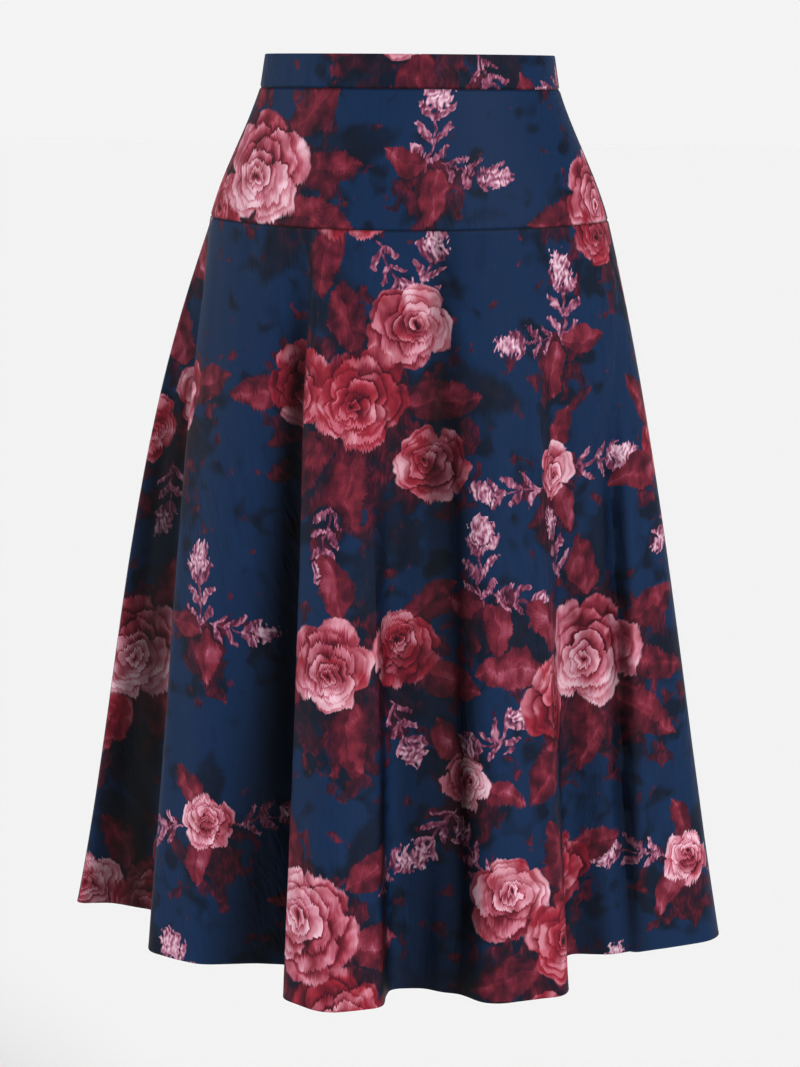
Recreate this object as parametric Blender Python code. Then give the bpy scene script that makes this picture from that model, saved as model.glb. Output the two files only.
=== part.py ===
"""A flared midi skirt: a straight waistband, a fitted hip yoke and a lower skirt that falls in
deep soft flutes, closed by a concealed zip at the centre back.

Metres, +Z up. The origin is the middle of the waist, level with the seam under the waistband.
The front faces -Y. Angles run round the body from the centre front, 0, over the wearer's left
side at +X, 90 degrees, to the centre back, 180.

Every cloth piece is a wall between an outer face and an inner one. The waistband and the yoke
follow ellipses. The lower skirt is ruled: each line of the cloth runs from its place on the yoke
seam down to its place on the hem, whose outline FOLDS gives, bowed outwards over the hips.
"""

import math
from collections import namedtuple

import bmesh
import bpy
import numpy as np

# ---------------------------------------------------------------- driving sizes, metres
BAND_DEPTH = 0.029
YOKE_DEPTH = 0.117
HEM_DROP = 0.778  # from the waist seam down to the hem at the centre front
HEM_RISE = 0.009  # how much higher the hem hangs at the sides, over the hips
YOKE_RISE = 0.005  # how much higher the yoke seam runs at the sides

BAND_WALL = 0.0024  # cloth folded double over its interfacing
CLOTH_WALL = 0.0013
SEAM_GAP = 0.0003

# Elliptical sections of the band and yoke, at a height above the waist seam.
Section = namedtuple("Section", "name height half_width half_depth")
BAND_TOP = Section("band top", BAND_DEPTH, 0.1273, 0.0910)
WAIST = Section("waist seam", 0.0, 0.1318, 0.0940)
HIGH_HIP = Section("high hip", -0.040, 0.1470, 0.1055)
HIP = Section("hip", -0.080, 0.1640, 0.1160)
YOKE_SEAM = Section("yoke seam", -YOKE_DEPTH, 0.1765, 0.1240)
YOKE_SECTIONS = (WAIST, HIGH_HIP, HIP, YOKE_SEAM)

# The fold lines of the lower skirt, in order round the body from the wearer's right side seam.
# seam_angle: where the line starts on the yoke seam, degrees. hem_x, hem_y: where it meets the
# hem. radius: how softly the hem turns there. bow: how far the line bows out of a straight one,
# as a share of its own spread.
Fold = namedtuple("Fold", "name seam_angle hem_x hem_y radius bow")
FOLDS = (
    Fold("side flute, right hip", -90.0, -0.328, 0.014, 0.020, 0.88),
    Fold("side flute turns in", -86.5, -0.286, 0.024, 0.018, 0.85),
    Fold("side hollow", -82.5, -0.240, 0.010, 0.018, 0.70),
    Fold("second flute, edge", -76.0, -0.216, -0.100, 0.014, 0.50),
    Fold("second flute, crest", -52.0, -0.163, -0.122, 0.045, 0.30),
    Fold("second flute falls back", -33.0, -0.112, -0.104, 0.030, 0.15),
    Fold("pleat, hollow", -25.0, -0.066, -0.106, 0.012, 0.10),
    Fold("pleat, edge", -20.0, -0.075, -0.177, 0.012, 0.10),
    Fold("front flute, crest", -11.0, -0.032, -0.206, 0.035, 0.0),
    Fold("front flute, edge", -4.0, 0.017, -0.180, 0.014, 0.0),
    Fold("front hollow", 3.0, 0.010, -0.130, 0.014, 0.0),
    Fold("tuck, floor", 16.5, 0.045, -0.128, 0.020, 0.0),
    Fold("third flute rises", 21.0, 0.074, -0.148, 0.030, 0.0),
    Fold("third flute, crest", 30.0, 0.108, -0.162, 0.040, -0.15),
    Fold("third flute, edge", 43.0, 0.170, -0.132, 0.012, -0.25),
    Fold("third flute, hollow", 50.0, 0.155, -0.032, 0.014, -0.10),
    Fold("side fall", 64.0, 0.204, -0.031, 0.050, 0.20),
    Fold("side flute, left hip", 84.0, 0.293, 0.034, 0.035, 0.45),
    Fold("side flute turns back", 99.0, 0.278, 0.106, 0.025, 0.45),
    Fold("back side hollow", 108.0, 0.216, 0.108, 0.018, 0.40),
    Fold("back left flute, edge", 119.0, 0.214, 0.182, 0.022, 0.40),
    Fold("back left flute, crest", 133.0, 0.152, 0.222, 0.035, 0.35),
    Fold("back left flute falls", 148.0, 0.098, 0.166, 0.022, 0.30),
    Fold("back left tuck", 158.0, 0.048, 0.168, 0.020, 0.30),
    Fold("centre back flute, left", 170.0, 0.034, 0.230, 0.030, 0.30),
    Fold("centre back flute, right", 188.0, -0.050, 0.234, 0.030, 0.30),
    Fold("back right tuck", 203.0, -0.074, 0.170, 0.020, 0.30),
    Fold("back right flute rises", 214.0, -0.124, 0.170, 0.020, 0.30),
    Fold("back right flute, crest", 226.0, -0.150, 0.226, 0.024, 0.35),
    Fold("back right flute, edge", 240.0, -0.224, 0.190, 0.034, 0.40),
    Fold("back right flute falls", 250.0, -0.230, 0.112, 0.020, 0.50),
    Fold("behind the side flute", 262.0, -0.282, 0.088, 0.020, 0.80),
)

# Where the pieces meet, degrees round the body.
RIGHT_SIDE, LEFT_SIDE, CENTRE_BACK = -90.0, 90.0, 180.0

# How many faces a piece has. Columns are counted round the body, rows down it.
SKIRT_FRONT_COLUMNS, SKIRT_BACK_COLUMNS, SKIRT_ROWS = 78, 40, 10
YOKE_FRONT_COLUMNS, YOKE_BACK_COLUMNS = 32, 16
YOKE_ROW_SHARES = (0.0, 0.25, 0.5, 0.75, 1.0)
OUTLINE_SAMPLES = 2400
CORNER_STEPS = 8
HEM_SOFTENING = 0.004  # spread of the rounding that takes the last corners off the hem
SEAM_SOFTENING = 0.010

# ---------------------------------------------------------------- the zip
# The tapes run from the top of the band to the first row of faces below the yoke seam, 66 mm
# under it, so that the waist opens over the hips.
TAPE_WIDTH, TAPE_WALL, TAPE_TOP_DROP = 0.012, 0.0010, 0.0004
TAPE_COLUMNS = 3
ZIP_CLEARANCE = 0.0003
SLIDER_HEIGHT = 0.018
SLIDER_CLEARANCE = 0.0004
NECK_WIDTH, NECK_HEIGHT = 0.0016, 0.0060
NOTCH_SIDE_CLEARANCE, NOTCH_END_CLEARANCE, NOTCH_RAMP = 0.0004, 0.0010, 0.0010
SLIDER_BODY = (0.0070, 0.0026, 0.0084)  # width, depth, height
LUG_REACH, LUG_RADIUS, EYE_RADIUS = 0.0024, 0.0020, 0.0010
LUG_STEPS = 16
SLIDER_LEAN = math.atan2(WAIST.half_depth - BAND_TOP.half_depth, BAND_DEPTH)
PULL_WALL, PULL_BAR = 0.0010, 0.0008
PULL_WINDOW = (0.0024, 0.0025)  # width, and reach below the hinge
PULL_TOP_WIDTH, PULL_FOOT_RADIUS, PULL_LENGTH = 0.0043, 0.0035, 0.0190
PULL_FOOT_STEPS = 10
PULL_LIFT = math.radians(2.0)  # how far the tab at rest stands off the waistband

COLOURS = {
    "cloth": ((0.016, 0.040, 0.095, 1.0), 0.62, 0.0),
    "tape": ((0.012, 0.020, 0.045, 1.0), 0.80, 0.0),
    "metal": ((0.020, 0.030, 0.055, 1.0), 0.38, 0.6),
}


# ---------------------------------------------------------------- outlines
def closed_softened(values, spread, spacing):
    """A closed run of samples, rounded by a bell curve of this spread."""
    frequency = np.fft.fftfreq(len(values), d=spacing)
    gain = np.exp(-2.0 * (math.pi * frequency * spread) ** 2)
    if values.ndim > 1:
        gain = gain[:, None]
    return np.real(np.fft.ifft(np.fft.fft(values, axis=0) * gain, axis=0))


def rounded_corner(before, corner, after, radius):
    """The points that turn one corner of the hem outline."""
    back, ahead = before - corner, after - corner
    back_length, ahead_length = np.linalg.norm(back), np.linalg.norm(ahead)
    back, ahead = back / back_length, ahead / ahead_length
    turn = math.pi - math.acos(float(np.clip(back @ ahead, -1.0, 1.0)))
    reach = min(radius * math.tan(turn / 2), 0.48 * back_length, 0.48 * ahead_length)
    start, end = corner + back * reach, corner + ahead * reach
    share = np.linspace(0.0, 1.0, CORNER_STEPS + 1)[:, None]
    return (1 - share) ** 2 * start + 2 * share * (1 - share) * corner + share**2 * end


class LowerSkirt:
    """The ruled surface of the lower skirt, sampled at even steps along its hem."""

    def __init__(self):
        corners = np.array([(fold.hem_x, fold.hem_y) for fold in FOLDS])
        runs = [
            rounded_corner(corners[i - 1], corners[i], corners[(i + 1) % len(FOLDS)], fold.radius)
            for i, fold in enumerate(FOLDS)
        ]
        points = np.concatenate(runs)
        steps = np.linalg.norm(np.roll(points, -1, axis=0) - points, axis=1)
        along = np.concatenate([[0.0], np.cumsum(steps)])
        girth = along[-1]
        middles = along[CORNER_STEPS // 2 :: CORNER_STEPS + 1][: len(FOLDS)]
        start = middles[0]
        knots = np.append(middles - start, girth)

        spacing = girth / OUTLINE_SAMPLES
        place = np.arange(OUTLINE_SAMPLES) * spacing
        closed = np.vstack([points, points[:1]])
        sample = (place + start) % girth
        hem = np.stack([np.interp(sample, along, closed[:, k]) for k in (0, 1)], axis=1)
        angles = [fold.seam_angle for fold in FOLDS] + [FOLDS[0].seam_angle + 360.0]
        bows = [fold.bow for fold in FOLDS] + [FOLDS[0].bow]

        steady = angles[0] + 360.0 * place / girth
        wander = np.interp(place, knots, angles) - steady
        self.angle = steady + closed_softened(wander, SEAM_SOFTENING, spacing)
        self.bow = closed_softened(np.interp(place, knots, bows), 2 * SEAM_SOFTENING, spacing)
        self.hem = closed_softened(hem, HEM_SOFTENING, spacing)
        radians = np.radians(self.angle)
        self.seam = np.stack(
            [YOKE_SEAM.half_width * np.sin(radians), -YOKE_SEAM.half_depth * np.cos(radians)],
            axis=1,
        )
        self.seam_height = -YOKE_DEPTH + YOKE_RISE * np.sin(radians) ** 2
        hem_angle = np.arctan2(self.hem[:, 0], -self.hem[:, 1])
        self.hem_height = -HEM_DROP + HEM_RISE * np.sin(hem_angle) ** 2

    def column_of(self, angle):
        """The sample, as a fraction of an index, that starts at this angle of the yoke seam."""
        unrolled = np.append(self.angle, self.angle[0] + 360.0)
        turned = self.angle[0] + (angle - self.angle[0]) % 360.0
        return float(np.interp(turned, unrolled, np.arange(OUTLINE_SAMPLES + 1)))

    def level(self, share):
        """Points and outward normals of the whole outline, this share of the way down."""
        fall = (share + self.bow * share * (1 - share) ** 2)[:, None]
        flat = self.seam * (1 - fall) + self.hem * fall
        height = self.seam_height * (1 - share) + self.hem_height * share
        return np.column_stack([flat, height]), outward_normals(flat)


def outward_normals(flat):
    """Level unit normals of a closed outline that runs anticlockwise seen from above."""
    along = np.roll(flat, -1, axis=0) - np.roll(flat, 1, axis=0)
    normals = np.column_stack([along[:, 1], -along[:, 0], np.zeros(len(along))])
    return normals / np.linalg.norm(normals, axis=1)[:, None]


def ellipse_level(section_above, section_below, share, rise=0.0):
    """Points and normals of a whole section between two others, samples even in angle."""
    angle = np.radians(np.arange(OUTLINE_SAMPLES) * 360.0 / OUTLINE_SAMPLES)
    mix = [a + (b - a) * share for a, b in zip(section_above[1:], section_below[1:])]
    height, half_width, half_depth = mix
    flat = np.stack([half_width * np.sin(angle), -half_depth * np.cos(angle)], axis=1)
    heights = height + rise * np.sin(angle) ** 2
    return np.column_stack([flat, heights]), outward_normals(flat)


def body_level(height_share):
    """The yoke's section this share of the way down it, smooth through YOKE_SECTIONS."""
    heights = [-section.height for section in YOKE_SECTIONS]
    depth = height_share * YOKE_DEPTH
    widths = smooth_through(heights, [s.half_width for s in YOKE_SECTIONS], depth)
    depths = smooth_through(heights, [s.half_depth for s in YOKE_SECTIONS], depth)
    here = Section("", -depth, widths, depths)
    return ellipse_level(here, here, 0.0, rise=YOKE_RISE * height_share)


def smooth_through(places, values, place):
    """The value of the one cubic through four places."""
    total = 0.0
    for i, (here, value) in enumerate(zip(places, values)):
        others = [other for k, other in enumerate(places) if k != i]
        total += value * math.prod((place - other) / (here - other) for other in others)
    return total


def picked(level, columns):
    """One row of a piece: a level's points and normals at these fractional samples."""
    points, normals = level
    index = np.arange(OUTLINE_SAMPLES + 1)
    rows = []
    for values in (points, normals):
        closed = np.vstack([values, values[:1]])
        wrapped = columns % OUTLINE_SAMPLES
        rows.append(np.stack([np.interp(wrapped, index, closed[:, k]) for k in range(3)], axis=1))
    return rows


# ---------------------------------------------------------------- walls
def across_seam(levels, column):
    """The level direction, anticlockwise, square to the way a seam runs outwards."""
    top, bottom = (picked(level, np.array([column]))[0][0] for level in (levels[0], levels[-1]))
    across = np.array([top[1] - bottom[1], bottom[0] - top[0], 0.0])
    return across / np.linalg.norm(across)


def wall_mesh(name, outer, inner):
    """A closed wall between two grids of points, rows from the top and columns anticlockwise."""
    rows, columns = outer.shape[:2]
    mesh = bpy.data.meshes.new(name)
    shell = bmesh.new()
    front = [[shell.verts.new(point) for point in row] for row in outer]
    back = [[shell.verts.new(point) for point in row] for row in inner]
    for r in range(rows - 1):
        for c in range(columns - 1):
            shell.faces.new((front[r + 1][c], front[r + 1][c + 1], front[r][c + 1], front[r][c]))
            shell.faces.new((back[r][c], back[r][c + 1], back[r + 1][c + 1], back[r + 1][c]))
    for c in range(columns - 1):
        shell.faces.new((front[0][c], front[0][c + 1], back[0][c + 1], back[0][c]))
        shell.faces.new((back[-1][c], back[-1][c + 1], front[-1][c + 1], front[-1][c]))
    for r in range(rows - 1):
        shell.faces.new((front[r][0], back[r][0], back[r + 1][0], front[r + 1][0]))
        shell.faces.new((front[r][-1], front[r + 1][-1], back[r + 1][-1], back[r][-1]))
    shell.to_mesh(mesh)
    shell.free()
    return mesh


def cloth_piece(name, levels, columns, wall, end_gaps=None):
    """A piece of cloth through these levels, at these fractional samples of each level.

    end_gaps: for each level, how far the first and the last edge draw in from their seams.
    """
    first_way, last_way = (across_seam(levels, column) for column in (columns[0], columns[-1]))
    outer, inner = [], []
    for i, level in enumerate(levels):
        points, normals = picked(level, columns)
        first, last = end_gaps[i] if end_gaps else (SEAM_GAP / 2, SEAM_GAP / 2)
        points[0] += first * first_way
        points[-1] -= last * last_way
        outer.append(points)
        inner.append(points - normals * wall)
    return add_object(name, wall_mesh(name, np.array(outer), np.array(inner)), "cloth")


def lowered(level, drop):
    points, normals = level
    return points - np.array([0.0, 0.0, drop]), normals


def angle_columns(first, last, count):
    return np.linspace(first, last, count + 1) * OUTLINE_SAMPLES / 360.0


# ---------------------------------------------------------------- scene helpers
def clear_scene():
    for obj in list(bpy.data.objects):
        bpy.data.objects.remove(obj, do_unlink=True)


def finish_material(name):
    colour, roughness, metallic = COLOURS[name]
    material = bpy.data.materials.get(name)
    if material is None:
        material = bpy.data.materials.new(name)
        material.use_nodes = True
        shader = material.node_tree.nodes["Principled BSDF"]
        shader.inputs["Base Color"].default_value = colour
        shader.inputs["Roughness"].default_value = roughness
        shader.inputs["Metallic"].default_value = metallic
        material.diffuse_color = colour
    return material


def add_object(name, mesh, material):
    obj = bpy.data.objects.new(name, mesh)
    bpy.context.scene.collection.objects.link(obj)
    mesh.materials.append(finish_material(material))
    mesh.shade_smooth()
    return obj


# ---------------------------------------------------------------- the cloth pieces
def notch_rows():
    """Heights on the band, with how far its centre back edges draw in there: the two sides of
    the notch that the slider's neck stands in."""
    half = NECK_HEIGHT / 2 + NOTCH_END_CLEARANCE
    wide, shut = NECK_WIDTH / 2 + NOTCH_SIDE_CLEARANCE, SEAM_GAP / 2
    return (
        (BAND_DEPTH, shut),
        (SLIDER_HEIGHT + half + NOTCH_RAMP, shut),
        (SLIDER_HEIGHT + half, wide),
        (SLIDER_HEIGHT - half, wide),
        (SLIDER_HEIGHT - half - NOTCH_RAMP, shut),
        (SEAM_GAP / 2, shut),
    )


def band_level(height):
    return ellipse_level(BAND_TOP, WAIST, (BAND_DEPTH - height) / BAND_DEPTH)


def make_waistband():
    shut = SEAM_GAP / 2
    front = angle_columns(RIGHT_SIDE, LEFT_SIDE, YOKE_FRONT_COLUMNS)
    cloth_piece("waistband_front", [band_level(BAND_DEPTH), band_level(shut)], front, BAND_WALL)

    levels = [band_level(height) for height, _ in notch_rows()]
    edges = [edge for _, edge in notch_rows()]
    left = angle_columns(LEFT_SIDE, CENTRE_BACK, YOKE_BACK_COLUMNS)
    right = angle_columns(CENTRE_BACK, 360.0 + RIGHT_SIDE, YOKE_BACK_COLUMNS)
    left_gaps = [(shut, edge) for edge in edges]
    right_gaps = [(edge, shut) for edge in edges]
    cloth_piece("waistband_back_left", levels, left, BAND_WALL, left_gaps)
    cloth_piece("waistband_back_right", levels, right, BAND_WALL, right_gaps)


def yoke_levels():
    levels = [body_level(share) for share in YOKE_ROW_SHARES]
    levels[0] = lowered(levels[0], SEAM_GAP / 2)
    levels[-1] = lowered(levels[-1], -SEAM_GAP / 2)
    return levels


def make_yoke():
    for name, first, last, count in (
        ("yoke_front", RIGHT_SIDE, LEFT_SIDE, YOKE_FRONT_COLUMNS),
        ("yoke_back_left", LEFT_SIDE, CENTRE_BACK, YOKE_BACK_COLUMNS),
        ("yoke_back_right", CENTRE_BACK, 360.0 + RIGHT_SIDE, YOKE_BACK_COLUMNS),
    ):
        cloth_piece(name, yoke_levels(), angle_columns(first, last, count), CLOTH_WALL)


def skirt_levels(skirt):
    levels = [skirt.level(row / SKIRT_ROWS) for row in range(SKIRT_ROWS + 1)]
    levels[0] = lowered(levels[0], SEAM_GAP / 2)
    return levels


def skirt_columns(skirt):
    """For each lower piece, the samples of its columns, evenly spread along the hem."""
    right, left = skirt.column_of(RIGHT_SIDE), skirt.column_of(LEFT_SIDE)
    back = skirt.column_of(CENTRE_BACK)
    right_again = right + OUTLINE_SAMPLES
    return {
        "skirt_front": np.linspace(right, left, SKIRT_FRONT_COLUMNS + 1),
        "skirt_back_left": np.linspace(left, back, SKIRT_BACK_COLUMNS + 1),
        "skirt_back_right": np.linspace(back, right_again, SKIRT_BACK_COLUMNS + 1),
    }


def make_skirt(skirt):
    levels = skirt_levels(skirt)
    for name, columns in skirt_columns(skirt).items():
        cloth_piece(name, levels, columns, CLOTH_WALL)


# ---------------------------------------------------------------- the zip's pieces
def tape_row(level, columns, edge, wall):
    """One row of a tape, from its edge at the zip: points on its outer and its inner face. It
    follows the inner face of the wall whose samples, from the centre back on, are given."""
    points, normals = picked(level, columns)
    face = points - normals * wall
    along = np.concatenate([[0.0], np.cumsum(np.linalg.norm(np.diff(face, axis=0), axis=1))])
    stations = np.linspace(edge, TAPE_WIDTH, TAPE_COLUMNS + 1)
    place = np.stack([np.interp(stations, along, face[:, k]) for k in range(3)], axis=1)
    inward = -np.stack([np.interp(stations, along, normals[:, k]) for k in range(3)], axis=1)
    return place + inward * ZIP_CLEARANCE, place + inward * (ZIP_CLEARANCE + TAPE_WALL)


def make_zip_tapes(skirt):
    lower = skirt_columns(skirt)
    shut = SEAM_GAP / 2
    left = angle_columns(LEFT_SIDE, CENTRE_BACK, YOKE_BACK_COLUMNS)[::-1]
    right = angle_columns(CENTRE_BACK, 360.0 + RIGHT_SIDE, YOKE_BACK_COLUMNS)
    for name, upper, under, order in (
        ("zip_tape_left", left[:4], lower["skirt_back_left"][:-5:-1], -1),
        ("zip_tape_right", right[:4], lower["skirt_back_right"][:4], 1),
    ):
        rows = []
        for height, edge in notch_rows():
            drop = TAPE_TOP_DROP if height == BAND_DEPTH else 0.0
            rows.append(tape_row(lowered(band_level(height), drop), upper, edge, BAND_WALL))
        rows.append(tape_row(yoke_levels()[0], upper, shut, BAND_WALL))
        rows += [tape_row(level, upper, shut, CLOTH_WALL) for level in yoke_levels()[1:]]
        rows += [tape_row(level, under, shut, CLOTH_WALL) for level in skirt_levels(skirt)[:2]]
        outer = np.array([row[0][::order] for row in rows])
        inner = np.array([row[1][::order] for row in rows])
        add_object(name, wall_mesh(name, outer, inner), "tape")


def plate(name, outline, width):
    """A plate in the YZ plane, centred on X, with this outline of (y, z) points."""
    shape = bmesh.new()
    low, high = ([shape.verts.new((x, y, z)) for y, z in outline] for x in (-width / 2, width / 2))
    shape.faces.new(low[::-1])
    shape.faces.new(high)
    for i in range(len(outline)):
        k = (i + 1) % len(outline)
        shape.faces.new((low[i], low[k], high[k], high[i]))
    return as_mesh(name, shape)


def as_mesh(name, shape):
    """The mesh of a bmesh, with its faces turned outwards."""
    bmesh.ops.recalc_face_normals(shape, faces=shape.faces)
    mesh = bpy.data.meshes.new(name)
    shape.to_mesh(mesh)
    shape.free()
    return mesh


def block(name, size, centre, bevel=0.0):
    shape = bmesh.new()
    bmesh.ops.create_cube(shape, size=1.0)
    bmesh.ops.scale(shape, vec=size, verts=shape.verts)
    bmesh.ops.translate(shape, vec=centre, verts=shape.verts)
    if bevel:
        bmesh.ops.bevel(shape, geom=shape.edges, offset=bevel, segments=1, affect="EDGES")
    return as_mesh(name, shape)


def cut_or_join(obj, name, mesh, operation):
    """A Boolean of obj with a helper that is placed as obj is."""
    other = bpy.data.objects.new(name, mesh)
    bpy.context.scene.collection.objects.link(other)
    other.hide_render = True
    other.display_type = "WIRE"
    other.location, other.rotation_euler = obj.location, obj.rotation_euler
    modifier = obj.modifiers.new(name, "BOOLEAN")
    modifier.operation = operation
    modifier.object = other
    modifier.solver = "EXACT"


def circle_points(radius, steps, first=0.0, last=360.0):
    angles = np.radians(np.linspace(first, last, steps, endpoint=last - first < 360.0))
    return [(radius * math.cos(angle), radius * math.sin(angle)) for angle in angles]


def set_on_hinge(obj, lean):
    """Puts an object that is built about the hinge line in its place on the waistband."""
    points, _ = band_level(SLIDER_HEIGHT)
    face = float(points[OUTLINE_SAMPLES // 2][1])
    reach_out, reach_up = LUG_REACH * math.cos(SLIDER_LEAN), LUG_REACH * math.sin(SLIDER_LEAN)
    obj.location = (0.0, face + reach_out, SLIDER_HEIGHT + reach_up)
    obj.rotation_euler = (lean, 0.0, 0.0)


def make_zip_slider():
    """A body behind the tapes, a neck through the notch, and a lug outside with an eye. It is
    built about the hinge line: +Y is out of the waistband's face."""
    behind = -LUG_REACH - BAND_WALL - ZIP_CLEARANCE - TAPE_WALL - SLIDER_CLEARANCE
    middle = behind - SLIDER_BODY[1] / 2
    half = NECK_HEIGHT / 2
    outline = [(middle, -half), (-LUG_REACH, -half)]
    outline += circle_points(LUG_RADIUS, LUG_STEPS // 2 + 1, -90.0, 90.0)
    outline += [(-LUG_REACH, half), (middle, half)]
    slider = add_object("zip_slider", plate("zip_slider", outline, NECK_WIDTH), "metal")
    set_on_hinge(slider, SLIDER_LEAN)
    body = block("slider_body", SLIDER_BODY, (0.0, middle, 0.0), bevel=0.0006)
    cut_or_join(slider, "slider_body", body, "UNION")
    eye = plate("slider_eye", circle_points(EYE_RADIUS, LUG_STEPS), 3 * NECK_WIDTH)
    cut_or_join(slider, "slider_eye", eye, "DIFFERENCE")


def make_zip_pull():
    """A drop-shaped tab, hanging down from the hinge line. The bar over the window at its top
    runs through the slider's eye."""
    width, reach = PULL_WINDOW
    foot_centre = PULL_LENGTH - PULL_FOOT_RADIUS
    half = [(PULL_TOP_WIDTH / 2, PULL_BAR / 2), (PULL_TOP_WIDTH / 2, -reach - PULL_BAR)]
    half += [
        (across, down - foot_centre)
        for across, down in circle_points(PULL_FOOT_RADIUS, PULL_FOOT_STEPS, 0.0, -90.0)
    ]
    across = half + [(-x, z) for x, z in half[-2::-1]]
    shape = bmesh.new()
    back, front = (
        [shape.verts.new((x, y, z)) for x, z in across] for y in (-PULL_WALL / 2, PULL_WALL / 2)
    )
    shape.faces.new(back[::-1])
    shape.faces.new(front)
    for i in range(len(across)):
        k = (i + 1) % len(across)
        shape.faces.new((back[i], back[k], front[k], front[i]))
    pull = add_object("zip_pull", as_mesh("zip_pull", shape), "metal")
    set_on_hinge(pull, SLIDER_LEAN + PULL_LIFT)
    top, bottom = -PULL_BAR / 2, -reach
    size, centre = (width, 3 * PULL_WALL, top - bottom), (0.0, 0.0, (top + bottom) / 2)
    cut_or_join(pull, "pull_window", block("pull_window", size, centre), "DIFFERENCE")


def main():
    clear_scene()
    skirt = LowerSkirt()
    make_waistband()
    make_yoke()
    make_skirt(skirt)
    make_zip_tapes(skirt)
    make_zip_slider()
    make_zip_pull()


main()
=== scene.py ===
"""The looks of a flared midi skirt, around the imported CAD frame.

Metres, +Z up; z = 0 is the seam under the waistband and the front faces -Y. Angles run round the
body from the centre front, 0, over the wearer's left side at +X, 90 degrees, to the back, 180.
Sizes that repeat the CAD's carry the same names as there.
"""

import math
from collections import namedtuple

import bpy
import numpy as np
from mathutils import Matrix, Vector


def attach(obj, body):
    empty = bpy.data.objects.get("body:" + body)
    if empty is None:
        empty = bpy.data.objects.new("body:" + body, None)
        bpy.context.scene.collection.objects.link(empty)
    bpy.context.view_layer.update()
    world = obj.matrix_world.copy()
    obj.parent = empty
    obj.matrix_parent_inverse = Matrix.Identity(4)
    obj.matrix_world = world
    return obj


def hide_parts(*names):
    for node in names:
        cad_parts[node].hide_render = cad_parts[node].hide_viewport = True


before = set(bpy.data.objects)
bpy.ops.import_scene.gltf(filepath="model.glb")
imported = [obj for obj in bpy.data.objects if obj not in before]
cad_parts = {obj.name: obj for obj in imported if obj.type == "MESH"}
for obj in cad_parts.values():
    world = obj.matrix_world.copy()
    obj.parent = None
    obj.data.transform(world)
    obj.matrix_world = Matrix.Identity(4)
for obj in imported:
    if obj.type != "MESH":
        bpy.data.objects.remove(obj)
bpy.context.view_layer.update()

# ---------------------------------------------------------------- sizes shared with the CAD
BAND_DEPTH = 0.029
YOKE_DEPTH = 0.117
HEM_DROP = 0.778
HEM_RISE = 0.009
YOKE_RISE = 0.005
BAND_WALL = 0.0024
CLOTH_WALL = 0.0013

Section = namedtuple("Section", "height half_width half_depth")
BAND_TOP = Section(BAND_DEPTH, 0.1273, 0.0910)
WAIST = Section(0.0, 0.1318, 0.0940)
HIGH_HIP = Section(-0.040, 0.1470, 0.1055)
HIP = Section(-0.080, 0.1640, 0.1160)
YOKE_SEAM = Section(-YOKE_DEPTH, 0.1765, 0.1240)
YOKE_SECTIONS = (WAIST, HIGH_HIP, HIP, YOKE_SEAM)

Fold = namedtuple("Fold", "name seam_angle hem_x hem_y radius bow")
FOLDS = (
    Fold("side flute, right hip", -90.0, -0.328, 0.014, 0.020, 0.88),
    Fold("side flute turns in", -86.5, -0.286, 0.024, 0.018, 0.85),
    Fold("side hollow", -82.5, -0.240, 0.010, 0.018, 0.70),
    Fold("second flute, edge", -76.0, -0.216, -0.100, 0.014, 0.50),
    Fold("second flute, crest", -52.0, -0.163, -0.122, 0.045, 0.30),
    Fold("second flute falls back", -33.0, -0.112, -0.104, 0.030, 0.15),
    Fold("pleat, hollow", -25.0, -0.066, -0.106, 0.012, 0.10),
    Fold("pleat, edge", -20.0, -0.075, -0.177, 0.012, 0.10),
    Fold("front flute, crest", -11.0, -0.032, -0.206, 0.035, 0.0),
    Fold("front flute, edge", -4.0, 0.017, -0.180, 0.014, 0.0),
    Fold("front hollow", 3.0, 0.010, -0.130, 0.014, 0.0),
    Fold("tuck, floor", 16.5, 0.045, -0.128, 0.020, 0.0),
    Fold("third flute rises", 21.0, 0.074, -0.148, 0.030, 0.0),
    Fold("third flute, crest", 30.0, 0.108, -0.162, 0.040, -0.15),
    Fold("third flute, edge", 43.0, 0.170, -0.132, 0.012, -0.25),
    Fold("third flute, hollow", 50.0, 0.155, -0.032, 0.014, -0.10),
    Fold("side fall", 64.0, 0.204, -0.031, 0.050, 0.20),
    Fold("side flute, left hip", 84.0, 0.293, 0.034, 0.035, 0.45),
    Fold("side flute turns back", 99.0, 0.278, 0.106, 0.025, 0.45),
    Fold("back side hollow", 108.0, 0.216, 0.108, 0.018, 0.40),
    Fold("back left flute, edge", 119.0, 0.214, 0.182, 0.022, 0.40),
    Fold("back left flute, crest", 133.0, 0.152, 0.222, 0.035, 0.35),
    Fold("back left flute falls", 148.0, 0.098, 0.166, 0.022, 0.30),
    Fold("back left tuck", 158.0, 0.048, 0.168, 0.020, 0.30),
    Fold("centre back flute, left", 170.0, 0.034, 0.230, 0.030, 0.30),
    Fold("centre back flute, right", 188.0, -0.050, 0.234, 0.030, 0.30),
    Fold("back right tuck", 203.0, -0.074, 0.170, 0.020, 0.30),
    Fold("back right flute rises", 214.0, -0.124, 0.170, 0.020, 0.30),
    Fold("back right flute, crest", 226.0, -0.150, 0.226, 0.024, 0.35),
    Fold("back right flute, edge", 240.0, -0.224, 0.190, 0.034, 0.40),
    Fold("back right flute falls", 250.0, -0.230, 0.112, 0.020, 0.50),
    Fold("behind the side flute", 262.0, -0.282, 0.088, 0.020, 0.80),
)
RIGHT_SIDE, LEFT_SIDE, CENTRE_BACK = -90.0, 90.0, 180.0
OUTLINE_SAMPLES = 2400
CORNER_STEPS = 8
HEM_SOFTENING = 0.004
SEAM_SOFTENING = 0.010

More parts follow.
